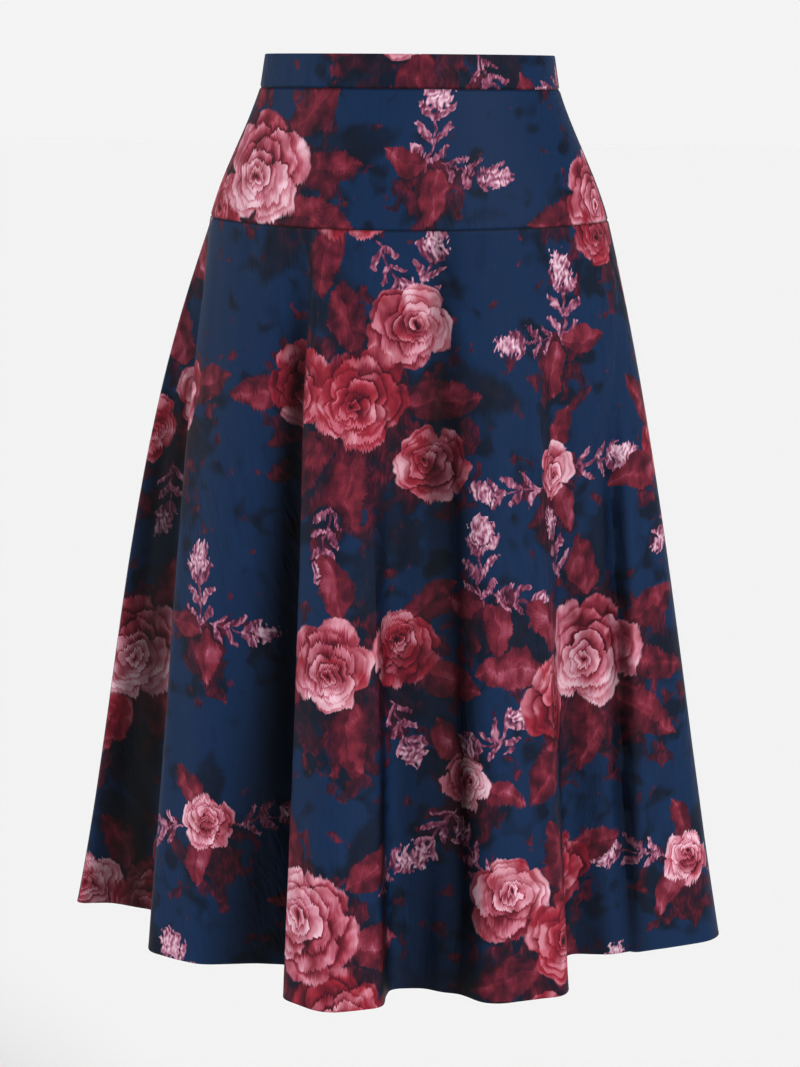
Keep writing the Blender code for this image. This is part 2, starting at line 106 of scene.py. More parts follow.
SLIDER_HEIGHT = 0.018
NECK_WIDTH, NECK_HEIGHT = 0.0016, 0.0060
NOTCH_SIDE_CLEARANCE = 0.0004
ZIP_CLEARANCE, TAPE_WALL, TAPE_WIDTH = 0.0003, 0.0010, 0.012
SLIDER_BODY_HEIGHT = 0.0084

# ---------------------------------------------------------------- the cut and its finish
# Each lower piece is a ring sector: the angle of its two side seams, and the radius of its top.
FLARE_RADIANS, CUT_TOP_RADIUS, CUT_LENGTH = 0.749, 0.634, 0.661
SEAM_SINK, SEAM_SINK_REACH = 0.0009, 0.0012  # how deep and wide the cloth rolls in at a seam
SIDE_SINK_SHARE = 0.35  # the side seams are pressed flatter
# The low ridge that a pressed allowance leaves beside its seam: height, place and half-width.
SEAM_RIDGE, SEAM_RIDGE_PLACE, SEAM_RIDGE_WIDTH = 0.00022, 0.0055, 0.0030
# Painted shade: the cloth is darkened along the level seams, where it rolls in.
SEAM_PAINTED_SHADE = 0.6  # how much darker the cloth is down in a level seam
# Painted light and shade: creases that stand out lighten the cloth, and inward ones darken it.
CREASE_PAINTED_SHADING = 95.0  # how much lighter each metre of crease would make it; inward ones darken it
HEM_TURN, HEM_PLY = 0.016, 0.0009  # the narrow turned hem: its depth, and its second ply inside
# Seam allowances, seen inside: how wide, how thick, and how soft their edges are.
ALLOWANCE, ALLOWANCE_PLY, ALLOWANCE_SOFT = 0.010, 0.0007, 0.0005
ROLL_STEPS = 6  # an even number, so that the last row has one to mirror it
# How far the finer columns and rows beside a seam lie from it, and the finer rows above the hem.
SEAM_STEPS = (0.0, 0.0004, 0.0009, 0.0015, 0.0024, 0.0038, 0.0066, 0.0095, 0.0105)
HEM_STEPS = (0.0, 0.003, 0.007, HEM_TURN - 0.0008, HEM_TURN + 0.0002)
FINE, COARSE, BAND_FINE = 0.0040, 0.0046, 0.0007  # grid spacing: round, down, and down the band
# Past the neck's ends, where the notch closes again, and how far in the cloth is drawn for it.
NOTCH_SPARE, NOTCH_SLOPE, NOTCH_REACH = 0.0003, 0.0007, SEAM_STEPS[-3]
# How much of its colour the cloth keeps at the bottom of a narrow hollow, as painted shade, and
# the openness at which it is darkest and at which it is full.
HOLLOW_DARK, HOLLOW_RANGE = 0.16, (0.56, 1.0)
# Hollows are measured on every so many rows, at so many places round, and their painted shade
# softened.
HOLLOW_ROWS, HOLLOW_PLACES, HOLLOW_SOFTENING = 7, 480, 0.004
SHARP_ANGLE, COIL_SHARP_ANGLE = math.radians(55), math.radians(50)


# ---------------------------------------------------------------- outlines, as in the CAD
def closed(values):
    """These rows, and the first one again."""
    return np.concatenate([values, values[:1]])


def lengths(points, axis=0):
    """How far each point is from the next one along this axis."""
    return np.linalg.norm(np.diff(points, axis=axis), axis=-1)


def totals(steps):
    """Running totals along the last axis, from 0."""
    return np.insert(np.cumsum(steps, axis=-1), 0, 0.0, axis=-1)


def between(place, places, values):
    """Each column of these values, interpolated."""
    return np.stack([np.interp(place, places, column) for column in values.T], axis=1)


def smooth_step(value, low, high):
    share = np.clip((value - low) / (high - low), 0.0, 1.0)
    return share * share * (3 - 2 * share)


def closed_softened(values, spread, spacing):
    frequency = np.fft.fftfreq(len(values), d=spacing)
    gain = np.exp(-2.0 * (math.pi * frequency * spread) ** 2)
    if values.ndim > 1:
        gain = gain[:, None]
    return np.real(np.fft.ifft(np.fft.fft(values, axis=0) * gain, axis=0))


def rounded_corner(before, corner, after, radius):
    back, ahead = before - corner, after - corner
    back_length, ahead_length = np.linalg.norm(back), np.linalg.norm(ahead)
    back, ahead = back / back_length, ahead / ahead_length
    turn = math.pi - math.acos(float(np.clip(back @ ahead, -1.0, 1.0)))
    reach = min(radius * math.tan(turn / 2), 0.48 * back_length, 0.48 * ahead_length)
    start, end = corner + back * reach, corner + ahead * reach
    share = np.linspace(0.0, 1.0, CORNER_STEPS + 1)[:, None]
    return (1 - share) ** 2 * start + 2 * share * (1 - share) * corner + share**2 * end


def outward_normals(flat):
    """Level unit normals of a closed outline that runs anticlockwise seen from above."""
    along = np.roll(flat, -1, axis=0) - np.roll(flat, 1, axis=0)
    normals = np.column_stack([along[:, 1], -along[:, 0], np.zeros(len(along))])
    return normals / np.linalg.norm(normals, axis=1)[:, None]


def on_ellipse(angle, half_width, half_depth):
    return np.stack([half_width * np.sin(angle), -half_depth * np.cos(angle)], axis=1)


class LowerSkirt:
    """The ruled surface of the lower skirt, sampled at even steps along its hem."""

    def __init__(self):
        corners = np.array([(fold.hem_x, fold.hem_y) for fold in FOLDS])
        beside = np.roll(corners, 1, axis=0), corners, np.roll(corners, -1, axis=0)
        runs = [rounded_corner(*ends, fold.radius) for *ends, fold in zip(*beside, FOLDS)]
        points = closed(np.concatenate(runs))
        along = totals(lengths(points))
        girth = along[-1]
        middles = along[CORNER_STEPS // 2 :: CORNER_STEPS + 1][: len(FOLDS)]
        start = middles[0]
        knots = np.append(middles - start, girth)

        self.spacing = spacing = girth / OUTLINE_SAMPLES
        place = np.arange(OUTLINE_SAMPLES) * spacing
        hem = between((place + start) % girth, along, points)
        angles = [fold.seam_angle for fold in FOLDS] + [FOLDS[0].seam_angle + 360.0]
        bows = [fold.bow for fold in FOLDS] + [FOLDS[0].bow]

        steady = angles[0] + 360.0 * place / girth
        wander = np.interp(place, knots, angles) - steady
        self.angle = steady + closed_softened(wander, SEAM_SOFTENING, spacing)
        self.bow = closed_softened(np.interp(place, knots, bows), 2 * SEAM_SOFTENING, spacing)
        self.hem = closed_softened(hem, HEM_SOFTENING, spacing)
        radians = np.radians(self.angle)
        self.seam = on_ellipse(radians, YOKE_SEAM.half_width, YOKE_SEAM.half_depth)
        self.seam_height = -YOKE_DEPTH + YOKE_RISE * np.sin(radians) ** 2
        hem_angle = np.arctan2(self.hem[:, 0], -self.hem[:, 1])
        self.hem_height = -HEM_DROP + HEM_RISE * np.sin(hem_angle) ** 2

    def column_of(self, angle):
        """The sample, as a fraction of an index, that starts at this angle of the yoke seam."""
        unrolled = np.append(self.angle, self.angle[0] + 360.0)
        turned = self.angle[0] + (angle - self.angle[0]) % 360.0
        return float(np.interp(turned, unrolled, np.arange(OUTLINE_SAMPLES + 1)))

    def level(self, share):
        """Points and outward normals of the whole outline, this share of the way down."""
        fall = (share + self.bow * share * (1 - share) ** 2)[:, None]
        flat = self.seam * (1 - fall) + self.hem * fall
        height = self.seam_height * (1 - share) + self.hem_height * share
        return np.column_stack([flat, height]), outward_normals(flat)


def ellipse_level(height, half_width, half_depth, rise=0.0):
    angle = np.radians(np.arange(OUTLINE_SAMPLES) * 360.0 / OUTLINE_SAMPLES)
    flat = on_ellipse(angle, half_width, half_depth)
    return np.column_stack([flat, height + rise * np.sin(angle) ** 2]), outward_normals(flat)


def yoke_level(share):
    """The yoke's outline this share of the way down, on the one cubic through its sections."""
    depth, half = share * YOKE_DEPTH, np.zeros(2)
    for section in YOKE_SECTIONS:
        others = [other.height for other in YOKE_SECTIONS if other is not section]
        weight = math.prod((depth + other) / (other - section.height) for other in others)
        half += weight * np.array(section[1:])
    return ellipse_level(-depth, *half, YOKE_RISE * share)


def band_level(share):
    return ellipse_level(*(top + (waist - top) * share for top, waist in zip(BAND_TOP, WAIST)))


def picked(level, columns):
    """A level's points and normals at these fractional samples."""
    samples = np.arange(OUTLINE_SAMPLES + 1)
    return [between(columns % OUTLINE_SAMPLES, samples, closed(values)) for values in level]


# ---------------------------------------------------------------- relief
LATTICE = 64


def lattice_noise(x, y, seed):
    """Smooth noise between about -1 and 1 over two coordinates, one bump to a unit."""
    knots = np.random.default_rng(seed).uniform(-1.0, 1.0, (LATTICE, LATTICE))
    column, row = np.floor(x).astype(int), np.floor(y).astype(int)
    across, down = smooth_step(x - column, 0.0, 1.0), smooth_step(y - row, 0.0, 1.0)
    left, right = column % LATTICE, (column + 1) % LATTICE
    top, bottom = (
        knots[left, k % LATTICE] * (1 - across) + knots[right, k % LATTICE] * across
        for k in (row, row + 1)
    )
    return top * (1 - down) + bottom * down


# Small creases and ridges, in millimetres of a piece's flat cut: x and y of one end and of the
# other, half-width, and how far the cloth stands out there, inwards if negative.
CREASES = {
    "skirt_front": (
        (45, -1, 51, -26, 3.2, -2.6), (50, -22, 63, -45, 3.2, -2.2), (51, -2, 56, -27, 3.0, 1.6),
        (48, -48, 59, -84, 3.4, -2.0), (58, -80, 71, -115, 4.0, -1.6),
        (68, -60, 86, -110, 5.0, 1.2), (-7, -60, -5, -104, 1.1, 1.2),
        (-5, -96, -1, -162, 1.1, 1.6), (-1, -150, 3, -250, 1.3, 1.5),
        (3, -238, 8, -330, 1.2, 1.3), (8, -318, 11, -480, 1.4, 1.1),
        (207, 34, 228, 1, 1.6, -0.8), (228, 3, 249, -27, 1.6, -0.8),
        (-36, -2, -26, -30, 5.0, -1.0), (83, 3, 80, -34, 6.0, -1.2), (157, 12, 157, -30, 6.0, -1.0),
        (-128, 8, -134, -30, 6.0, -1.2), (-57, 1, -58, -34, 4.0, 1.6),
    ),
    "skirt_back_left": (
        (-60, 0, -52, -40, 5.0, -1.4), (40, 0, 50, -45, 3.6, -2.2), (46, -36, 64, -80, 4.0, -1.8),
    ),
    "skirt_back_right": (
        (-46, 0, -52, -42, 3.6, -2.2), (-50, -36, -58, -86, 4.0, -1.8),
        (70, 2, 64, -36, 5.0, -1.4),
    ),
}
# Long ripples and small dents: height, width, how far down they shift by a width, and length.
RIPPLES = (
    (0.0005, 0.016, math.inf, 0.150), (0.0007, 0.045, math.inf, 0.220),
    (0.00025, 0.011, 0.060, 0.026),
)
UPPER_RIPPLES = 0.4  # how much of them the fitted pieces have
RIPPLE_FREE = (0.002, 0.030)  # how far from a seam they start, and are full

# Long soft lines of the lower skirt that run down with its folds: the seam angle of each at the
# top, a third of the way down and at the hem, the shares of the way down at which it starts, is
# full, starts to fade and ends, its half-widths on the two sides, and its amount.
Line = namedtuple("Line", "top third low start full fade end before after amount")
# Valleys and ridges; the amount is how far the cloth stands out there, inwards if negative.
GROOVES = (
    Line(-20.8, -25.6, -26.5, -0.03, 0.18, 0.70, 1.30, 0.022, 0.004, -0.013),
    Line(15.0, 18.0, 21.0, -0.02, 0.20, 0.70, 1.50, 0.014, 0.022, -0.012),
    Line(43.6, 42.4, 41.6, 0.10, 0.25, 0.70, 1.10, 0.008, 0.003, 0.0026),
    Line(78.5, 71.5, 66.5, 0.15, 0.42, 0.75, 1.20, 0.018, 0.004, -0.012),
    Line(-79.0, -80.0, -81.0, 0.02, 0.30, 1.00, 1.50, 0.020, 0.010, -0.014),
    Line(107.0, 107.0, 107.0, 0.05, 0.35, 1.00, 1.50, 0.012, 0.018, -0.010),
    Line(158.0, 158.0, 158.0, -0.02, 0.20, 0.70, 1.40, 0.006, 0.024, -0.010),
    Line(203.0, 204.0, 205.0, -0.02, 0.20, 0.70, 1.40, 0.022, 0.006, -0.010),
    Line(251.0, 251.0, 251.0, 0.05, 0.35, 0.90, 1.50, 0.010, 0.020, -0.009),
)
# Painted shade that darkens the cloth in a hollow, and painted light that lightens it where the
# amount is negative; the amount is a share.
SHADOWS = (
    Line(15.5, 15.0, 14.0, -0.10, 0.05, 0.30, 0.55, 0.007, 0.016, 0.42),
    Line(15.0, 18.5, 20.5, 0.10, 0.35, 1.20, 1.60, 0.026, 0.024, 0.55),
    Line(0.0, 0.5, 4.5, 0.45, 0.65, 1.20, 1.60, 0.010, 0.014, -0.85),
    Line(-27.0, -27.0, -27.0, 0.65, 0.90, 1.20, 1.60, 0.030, 0.016, -0.35),
    Line(51.0, 51.2, 52.2, 0.50, 0.70, 1.30, 1.60, 0.018, 0.024, -0.85),
    Line(70.0, 67.0, 68.5, 0.20, 0.40, 1.20, 1.60, 0.014, 0.010, 0.30),
    Line(-85.8, -85.4, -84.6, 0.20, 0.45, 1.20, 1.60, 0.024, 0.026, 0.80),
)


def along_line(piece, line):
    """A line's amount at each point of a piece of the lower skirt."""
    shares = piece.shares
    angles = np.interp(shares, (0.0, 1 / 3, 1.0), (line.top, line.third, line.low))
    amount = np.zeros(piece.along.shape)
    envelope = smooth_step(shares, line.start, line.full)
    envelope = envelope * (1 - smooth_step(shares, line.fade, line.end))
    for row, angle in enumerate(angles):
        column = piece.skirt.column_of(angle)
        for turn in (-OUTLINE_SAMPLES, 0, OUTLINE_SAMPLES):
            away = piece.round_to(row, piece.columns) - piece.round_to(row, column + turn)
            width = np.where(away < 0, line.before, line.after)
            amount[row] += line.amount * envelope[row] * np.exp(-((away / width) ** 2))
    return amount


def stroke(x, y, x0, y0, x1, y1, width, height):
    """The relief of one crease: a soft line that fades at its two ends."""
    dx, dy = x1 - x0, y1 - y0
    length = math.hypot(dx, dy)
    along = ((x - x0) * dx + (y - y0) * dy) / length**2
    across = ((x - x0) * dy - (y - y0) * dx) / length
    fade = smooth_step(np.minimum(along, 1 - along) * 4.0 + 0.25, 0.0, 1.0)
    return height * fade * np.exp(-((across / width) ** 2))


def sunk_at(distance):
    """How far cloth rolls inwards this far from a seam, less the ridge beside it."""
    roll = SEAM_SINK * np.exp(-((distance / SEAM_SINK_REACH) ** 2))
    return roll - SEAM_RIDGE * np.exp(-(((distance - SEAM_RIDGE_PLACE) / SEAM_RIDGE_WIDTH) ** 2))


# ---------------------------------------------------------------- cloth shells
def spread(first, last, spacing, ends):
    """Even steps of about this spacing from first to last, with finer ones at these distances
    from each of its two ends."""
    even = np.linspace(first, last, int((last - first) / spacing) + 1)
    low, high = (np.array(end) for end in ends)
    kept = (even > first + low[-1] + spacing / 2) & (even < last - high[-1] - spacing / 2)
    return np.concatenate([first + low, even[kept], last - high[::-1]])


def corners(above, below):
    """The corners of each face between rows and the rows below them, anticlockwise."""
    return np.stack([below[:, :-1], below[:, 1:], above[:, 1:], above[:, :-1]], axis=2)


def on_map(across, top, bottom, rows):
    """Rows of places on the map for baking, evenly from top to bottom."""
    down = np.linspace(top, bottom, rows)[:, None]
    return np.stack(np.broadcast_arrays(np.array(across), down), axis=-1)


def set_values(mesh, name, domain, *columns):
    layer = mesh.attributes.new(name, "FLOAT_VECTOR", domain)
    values = np.column_stack(columns).astype(np.float32)
    layer.data.foreach_set("vector", values.reshape(-1))


def loop_mesh(name, rows, cut, shade, trim, shown, printed):
    """A closed shell from rows that run down its outer face, round its lower edge and up its
    inner face. Row k lies over row M-1-k, and the first rows are the ones shown. cut gives each
    point's place in the flat cut, trim its place beside the seam allowances, and printed the
    rows that start a printed strip."""
    count, across = rows.shape[:2]
    index = np.arange(count * across).reshape(count, across)
    mirror, half = index[::-1], count // 2
    faces = [corners(index, np.roll(index, -1, axis=0))]

    # The outer face fills most of the map and the inner face a strip, or half each where both
    # are printed. The ends take two thin strips.
    share = np.linspace(0.0, 1.0, across)
    if printed.all():
        outer = on_map(0.004 + 0.96 * share, 0.996, 0.510, shown)
        inner = on_map(0.004 + 0.96 * share, 0.004, 0.490, count + 1 - shown)
    else:
        outer = on_map(0.004 + 0.84 * share, 0.996, 0.004, shown)
        inner = on_map(0.865 + 0.10 * share, 0.004, 0.996, count + 1 - shown)
    places = np.concatenate([outer, inner])
    tops = places[:-1].copy()
    tops[shown - 1] = inner[0] - (0.0, 0.003)  # where the faces past the outer part start
    uv = [corners(tops, places[1:])]
    for column, low, high in ((0, 0.974, 0.984), (-1, 0.988, 0.998)):
        one, other = index[:half, column], mirror[:half, column]
        if column:
            ends = one[:-1], one[1:], other[1:], other[:-1]
        else:
            ends = one[:-1], other[:-1], other[1:], one[1:]
        faces.append(np.stack(ends, axis=1))
        rim = on_map((low, high), 0.996, 0.004, half)
        uv.append(np.stack([rim[:-1, 0], rim[:-1, 1], rim[1:, 1], rim[1:, 0]], axis=1))
    faces = np.concatenate([part.reshape(-1, 4) for part in faces])
    mesh = bpy.data.meshes.new(name)
    mesh.from_pydata(rows.reshape(-1, 3).tolist(), [], faces.tolist())
    layer = mesh.uv_layers.new(name="OFBake")
    uv = np.concatenate([part.reshape(-1) for part in uv])
    layer.uv.foreach_set("vector", uv.astype(np.float32))

    flat = cut.reshape(-1, 2)
    set_values(mesh, "cloth", "POINT", flat, add_print(mesh, faces, flat))
    # Each point's painted shade, and its place beside the seam allowances.
    set_values(mesh, "shade_and_trim", "POINT", shade.reshape(-1), trim.reshape(-1, 2))
    kinds = np.zeros(len(faces), dtype=np.int32)
    kinds[: count * (across - 1)] = np.repeat(~printed, across - 1)
    mesh.polygons.foreach_set("material_index", kinds)
    return mesh


class Piece:
    """One piece of cloth between two seams, as a fine grid with its place in the flat cut.

    levels are the outlines that its rows follow, at these shares of the way down it, and columns
    the fractional samples of them that its columns do.
    """

    def __init__(self, kind, side, levels, shares, columns, wall, skirt=None):
        self.kind, self.side, self.node = kind, side, f"{kind}_{side}"
        self.shares, self.columns, self.wall, self.skirt = shares, columns, wall, skirt
        found = np.array([picked(level, columns) for level in levels])
        self.outer, self.normals = found[:, 0], found[:, 1]
        self.centre_back = {"front": None, "back_left": -1, "back_right": 0}[side]
        self.shade = np.ones(self.outer.shape[:2])
        self.along = totals(lengths(self.outer, axis=1))
        self.depth = totals(lengths(self.outer[:, len(columns) // 2]))
        self.girths = totals(lengths(np.array([closed(points) for points, _ in levels]), axis=1))
        self.lay_flat()

    def round_to(self, row, columns):
        """How far round a row's whole outline these fractional samples lie."""
        girth = self.girths[row]
        part = np.interp(np.mod(columns, OUTLINE_SAMPLES), np.arange(OUTLINE_SAMPLES + 1), girth)
        return part + np.floor_divide(columns, OUTLINE_SAMPLES) * girth[-1]

    def lay_flat(self):
        """Sets the flat cut and its size: a straight piece by its lengths, a flared one as a
        ring sector."""
        wide = self.along[:, -1]
        if self.kind == "skirt":
            flare = FLARE_RADIANS / (1 if self.side == "front" else 2)
            angle = (self.along / wide[:, None] - 0.5) * flare
            radius = (CUT_TOP_RADIUS + self.shares * CUT_LENGTH)[:, None]
            x, y = radius * np.sin(angle), CUT_TOP_RADIUS - radius * np.cos(angle)
            outer, inner = CUT_TOP_RADIUS + CUT_LENGTH, CUT_TOP_RADIUS
            self.flat = (2 * outer * math.sin(flare / 2), outer - inner * math.cos(flare / 2))
            self.area = flare / 2 * (outer**2 - inner**2)
        else:
            x = self.along - wide[:, None] / 2
            y = -np.repeat(self.depth[:, None], len(self.columns), axis=1)
            self.flat = (float(wide.max()), float(self.depth[-1]))
            self.area = float(((wide[:-1] + wide[1:]) / 2 * np.diff(self.depth)).sum())
        self.cut = np.stack([x, y], axis=-1)

    def from_end(self, end):
        """Each point's distance from the first or the last edge of the piece."""
        return self.along if end == 0 else self.along[:, -1:] - self.along

    def from_rows(self, end):
        """Each point's distance from the first or the last row of the piece."""
        distance = self.depth if end == 0 else self.depth[-1] - self.depth
        return np.repeat(distance[:, None], len(self.columns), axis=1)

    def from_level_seams(self):
        """Each point's distance from the nearest of the seams above and below it."""
        ends = {"waistband": (-1,), "yoke": (0, -1), "skirt": (0,)}[self.kind]
        return np.min([self.from_rows(end) for end in ends], axis=0)

    def from_side_seams(self):
        return np.minimum(self.from_end(0), self.from_end(-1))


# Where the cloth is clear of the tapes' edges, the width over which it bends free of them, and the
# shares of the lower skirt over which they end.
TAPE_CLEAR = (TAPE_WIDTH + 0.002, TAPE_WIDTH + 0.004)
TAPE_BESIDE, TAPE_BELOW = (TAPE_WIDTH + 0.002, TAPE_WIDTH + 0.014), (0.11, 0.18)


def allowance_places(piece):
    """For each point, how far it is from the nearest seam whose allowance shows inside, and how
    far along that seam."""
    distance, along = np.full(piece.along.shape, 1.0), np.zeros(piece.along.shape)
    if piece.kind == "waistband":
        return distance, along
    x, y = piece.cut[..., 0], piece.cut[..., 1]
    seams = [(piece.from_end(end), y) for end in (0, -1) if end != piece.centre_back]
    if piece.kind == "yoke":
        seams.append((piece.from_rows(-1), x))
    for away, place in seams:
        along = np.where(away < distance, place, along)
        distance = np.minimum(away, distance)
    if piece.centre_back is not None:  # clear of the zip's tapes
        clear = smooth_step(piece.from_end(piece.centre_back), *TAPE_CLEAR)
        distance = distance + 2 * ALLOWANCE * (1 - clear)
    return distance, along


def crease_relief(piece):
    height = np.zeros(piece.along.shape)
    for crease in CREASES.get(piece.node, ()):
        height = height + stroke(piece.cut[..., 0], piece.cut[..., 1], *np.array(crease) / 1000)
    return height


def relief(piece):
    """How far each point of a piece stands out of the smooth form."""
    x, y = piece.cut[..., 0], piece.cut[..., 1]
    level, side = piece.from_level_seams(), piece.from_side_seams()
    height = crease_relief(piece) - np.maximum(sunk_at(level), SIDE_SINK_SHARE * sunk_at(side))
    if piece.skirt:
        for groove in GROOVES:
            height = height + along_line(piece, groove)
    # Handling leaves the cloth a little uneven, most of all in long ripples down it.
    free = smooth_step(np.minimum(level, side), *RIPPLE_FREE)
    free = free * (1.0 if piece.skirt else UPPER_RIPPLES)
    for number, (high, wide, slant, long) in enumerate(RIPPLES, len(piece.node)):
        uneven = lattice_noise(x / wide + y / slant + 20, y / long + 30, number)
        height = height + high * uneven * free
    return height


def near_tapes(piece):
    """1 where the zip's tapes lie behind the cloth, fading to 0 beside and below them."""
    if piece.centre_back is None:
        return np.zeros(piece.along.shape)
    away = piece.from_end(piece.centre_back)
    near = 1 - smooth_step(away, *TAPE_BESIDE)
    if piece.kind == "skirt":
        near = near * (1 - smooth_step(piece.shares, *TAPE_BELOW))[:, None]
    return near


# Rays from the cloth to what may shade it: how far off it they start, how near and how far they
# are stopped, and their turns from straight out.
RAY_START, RAY_NEAR, RAY_FAR = 0.0015, 0.003, 0.30
RAY_TURNS = np.radians(np.arange(-80, 81, 10))
PARALLEL = 1e-12


def outline_openness(flat):
    """How much of the light in front of each point of a closed outline reaches it, 0 to 1."""
    out = outward_normals(flat)[:, :2]
    edge = np.diff(closed(flat), axis=0)
    gap = flat[None] - (flat + out * RAY_START)[:, None]

    def crossed(a, b):
        return a[..., 0] * b[..., 1] - a[..., 1] * b[..., 0]

    across = crossed(gap, edge[None])
    seen = np.zeros(len(flat))
    for turn in RAY_TURNS:
        c, s = math.cos(turn), math.sin(turn)
        ray = np.stack([out[:, 0] * c - out[:, 1] * s, out[:, 0] * s + out[:, 1] * c], axis=1)
        cross = crossed(ray[:, None], edge[None])
        cross = np.where(np.abs(cross) < PARALLEL, PARALLEL, cross)
        far, on = across / cross, crossed(gap, ray[:, None]) / cross
        blocked = ((far > RAY_NEAR) & (far < RAY_FAR) & (on >= 0) & (on <= 1)).any(axis=1)
        seen += math.cos(turn) * ~blocked
    return seen / np.cos(RAY_TURNS).sum()


def shade_hollows(pieces):
    """Sets the painted shade of the lower skirt: how much of its colour it keeps at each point,
    less in its hollows, where its folds block the light in front of it.
    """
    every = np.arange(len(pieces[0].shares))
    measured = [*every[::HOLLOW_ROWS], every[-1]]
    found = []
    for row in measured:
        outline = closed(np.concatenate([piece.surface[row, :, :2] for piece in pieces]))
        place = totals(lengths(outline))
        even = np.linspace(0.0, place[-1], HOLLOW_PLACES, endpoint=False)
        seen = outline_openness(between(even, place, outline))
        seen = closed(closed_softened(seen, HOLLOW_SOFTENING, even[1]))
        seen = np.interp(place[:-1], np.append(even, place[-1]), seen)
        found.append(HOLLOW_DARK + (1 - HOLLOW_DARK) * smooth_step(seen, *HOLLOW_RANGE))
    ends = np.cumsum([len(piece.columns) for piece in pieces])
    for piece, shades in zip(pieces, np.split(np.array(found), ends[:-1], axis=1)):
        piece.shade = between(every, measured, shades)


def open_notch(piece, points):
    """Opens the notch of the slider's neck at the centre back end of the waistband."""
    if piece.kind != "waistband" or piece.centre_back is None:
        return points
    half = NECK_HEIGHT / 2 + NOTCH_SPARE
    away = np.abs(BAND_DEPTH * (1 - piece.shares) - SLIDER_HEIGHT)
    deep = NECK_WIDTH / 2 + NOTCH_SIDE_CLEARANCE
    gap = np.interp(away, (half, half + NOTCH_SLOPE), (deep, 0.0))
    beside = 1 if piece.centre_back == 0 else -2
    way = points[:, beside] - points[:, piece.centre_back]
    way = way / np.linalg.norm(way, axis=1)[:, None]
    share = np.clip(1 - piece.from_end(piece.centre_back) / NOTCH_REACH, 0.0, 1.0)
    return points + (gap[:, None] * share)[..., None] * way[:, None]


def half_turn(outer, inner, normals, up, steps):
    """The rows of a rounded edge from an outer row over to an inner one."""
    middle, radius = (outer + inner) / 2, np.linalg.norm(outer - inner, axis=1)[:, None] / 2
    angles = math.pi * (np.arange(steps) + 0.5) / steps
    lift = np.array([0.0, 0.0, up])
    return [middle + (normals * math.cos(a) + lift * math.sin(a)) * radius for a in angles]


def new_object(name, data):
    """An object in the scene."""
    obj = bpy.data.objects.new(name, data)
    bpy.context.scene.collection.objects.link(obj)
    return obj


def make_piece(piece, materials):
    """The shell of one piece, with its turned hem, its folded top or its seam allowances."""
    away, seam_place = allowance_places(piece)
    edge = smooth_step(away, ALLOWANCE - ALLOWANCE_SOFT, ALLOWANCE + ALLOWANCE_SOFT)
    turned = (piece.kind == "skirt") & (piece.depth > piece.depth[-1] - HEM_TURN)
    wall = piece.wall + ALLOWANCE_PLY * (1 - edge) + HEM_PLY * turned[:, None]
    outer = open_notch(piece, piece.surface)
    inner = open_notch(piece, piece.lining) - piece.normals * wall[..., None]
    over, under = [], []
    if piece.kind == "skirt":
        radius = float(wall[-1].mean()) / 2
        outer[-1, :, 2] += radius
        inner[-1, :, 2] += radius
        under = half_turn(outer[-1], inner[-1], piece.normals[-1], -1.0, ROLL_STEPS)
    elif piece.kind == "waistband":
        outer[0, :, 2] -= BAND_WALL / 2
        inner[0, :, 2] -= BAND_WALL / 2
        over = half_turn(outer[0], inner[0], piece.normals[0], 1.0, 2 * ROLL_STEPS)
    half, count = len(over) // 2, len(outer)
    rows = np.array([*over[:half][::-1], *outer, *under, *inner[::-1], *over[half:][::-1]])

    # For each row of the shell, its row of the grid, and whether it is on the inner face.
    grid = [*range(count)]
    order = np.array([0] * half + grid + grid[-1:] * len(under) + grid[::-1] + [0] * half)
    inside = np.arange(len(order)) >= half + count + len(under)
    # The print runs on over a folded top and under a turned hem.
    inner_cut = piece.cut.copy()
    inner_cut[turned] = 2 * piece.cut[-1] - piece.cut[turned]
    if piece.kind == "waistband":
        inner_cut[..., 1] = 2 * piece.cut[0, 0, 1] + math.pi * BAND_WALL / 2 - inner_cut[..., 1]
    printed = ~inside | turned[order] | (piece.kind == "waistband")
    cut = np.where(inside[:, None, None], inner_cut[order], piece.cut[order])
    cut = cut + PRINT_AT[piece.node]
    if half:
        climb = BAND_WALL / 2 * math.pi / (2 * half) * (np.arange(half, 0, -1) - 0.5)
        cut[:half, :, 1] += climb[:, None]
        cut[-half:, :, 1] -= climb[::-1][:, None]

    name = f"cloth_{piece.node}"
    trim = np.stack([away, seam_place], axis=-1)[order]
    mesh = loop_mesh(name, rows, cut, piece.shade[order], trim, half + count, printed)
    obj = new_object(name, mesh)
    for material in materials:
        mesh.materials.append(material)
    mesh.shade_smooth()
    mesh.set_sharp_from_angle(angle=SHARP_ANGLE)
    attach(obj, "skirt")
    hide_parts(piece.node)
    above = {"waistband": (), "yoke": ("cloth_waistband_",), "skirt": ("cloth_yoke_",)}[piece.kind]
    held_by = [prefix + piece.side for prefix in above]


def lower_pieces(skirt):
    """The three flared pieces of the lower skirt."""
    steps, hem_steps = (np.array(ends) / CUT_LENGTH for ends in (SEAM_STEPS, HEM_STEPS))
    shares = spread(0.0, 1.0, COARSE / CUT_LENGTH, (steps, hem_steps))
    levels = [skirt.level(share) for share in shares]
    seams = [skirt.column_of(angle) for angle in (RIGHT_SIDE, LEFT_SIDE, CENTRE_BACK)]
    seams.append(seams[0] + OUTLINE_SAMPLES)
    ends = [np.array(SEAM_STEPS) / skirt.spacing] * 2
    for side, first, last in zip(("front", "back_left", "back_right"), seams, seams[1:]):
        columns = spread(first, last, FINE / skirt.spacing, ends)
        yield Piece("skirt", side, levels, shares, columns, CLOTH_WALL, skirt)


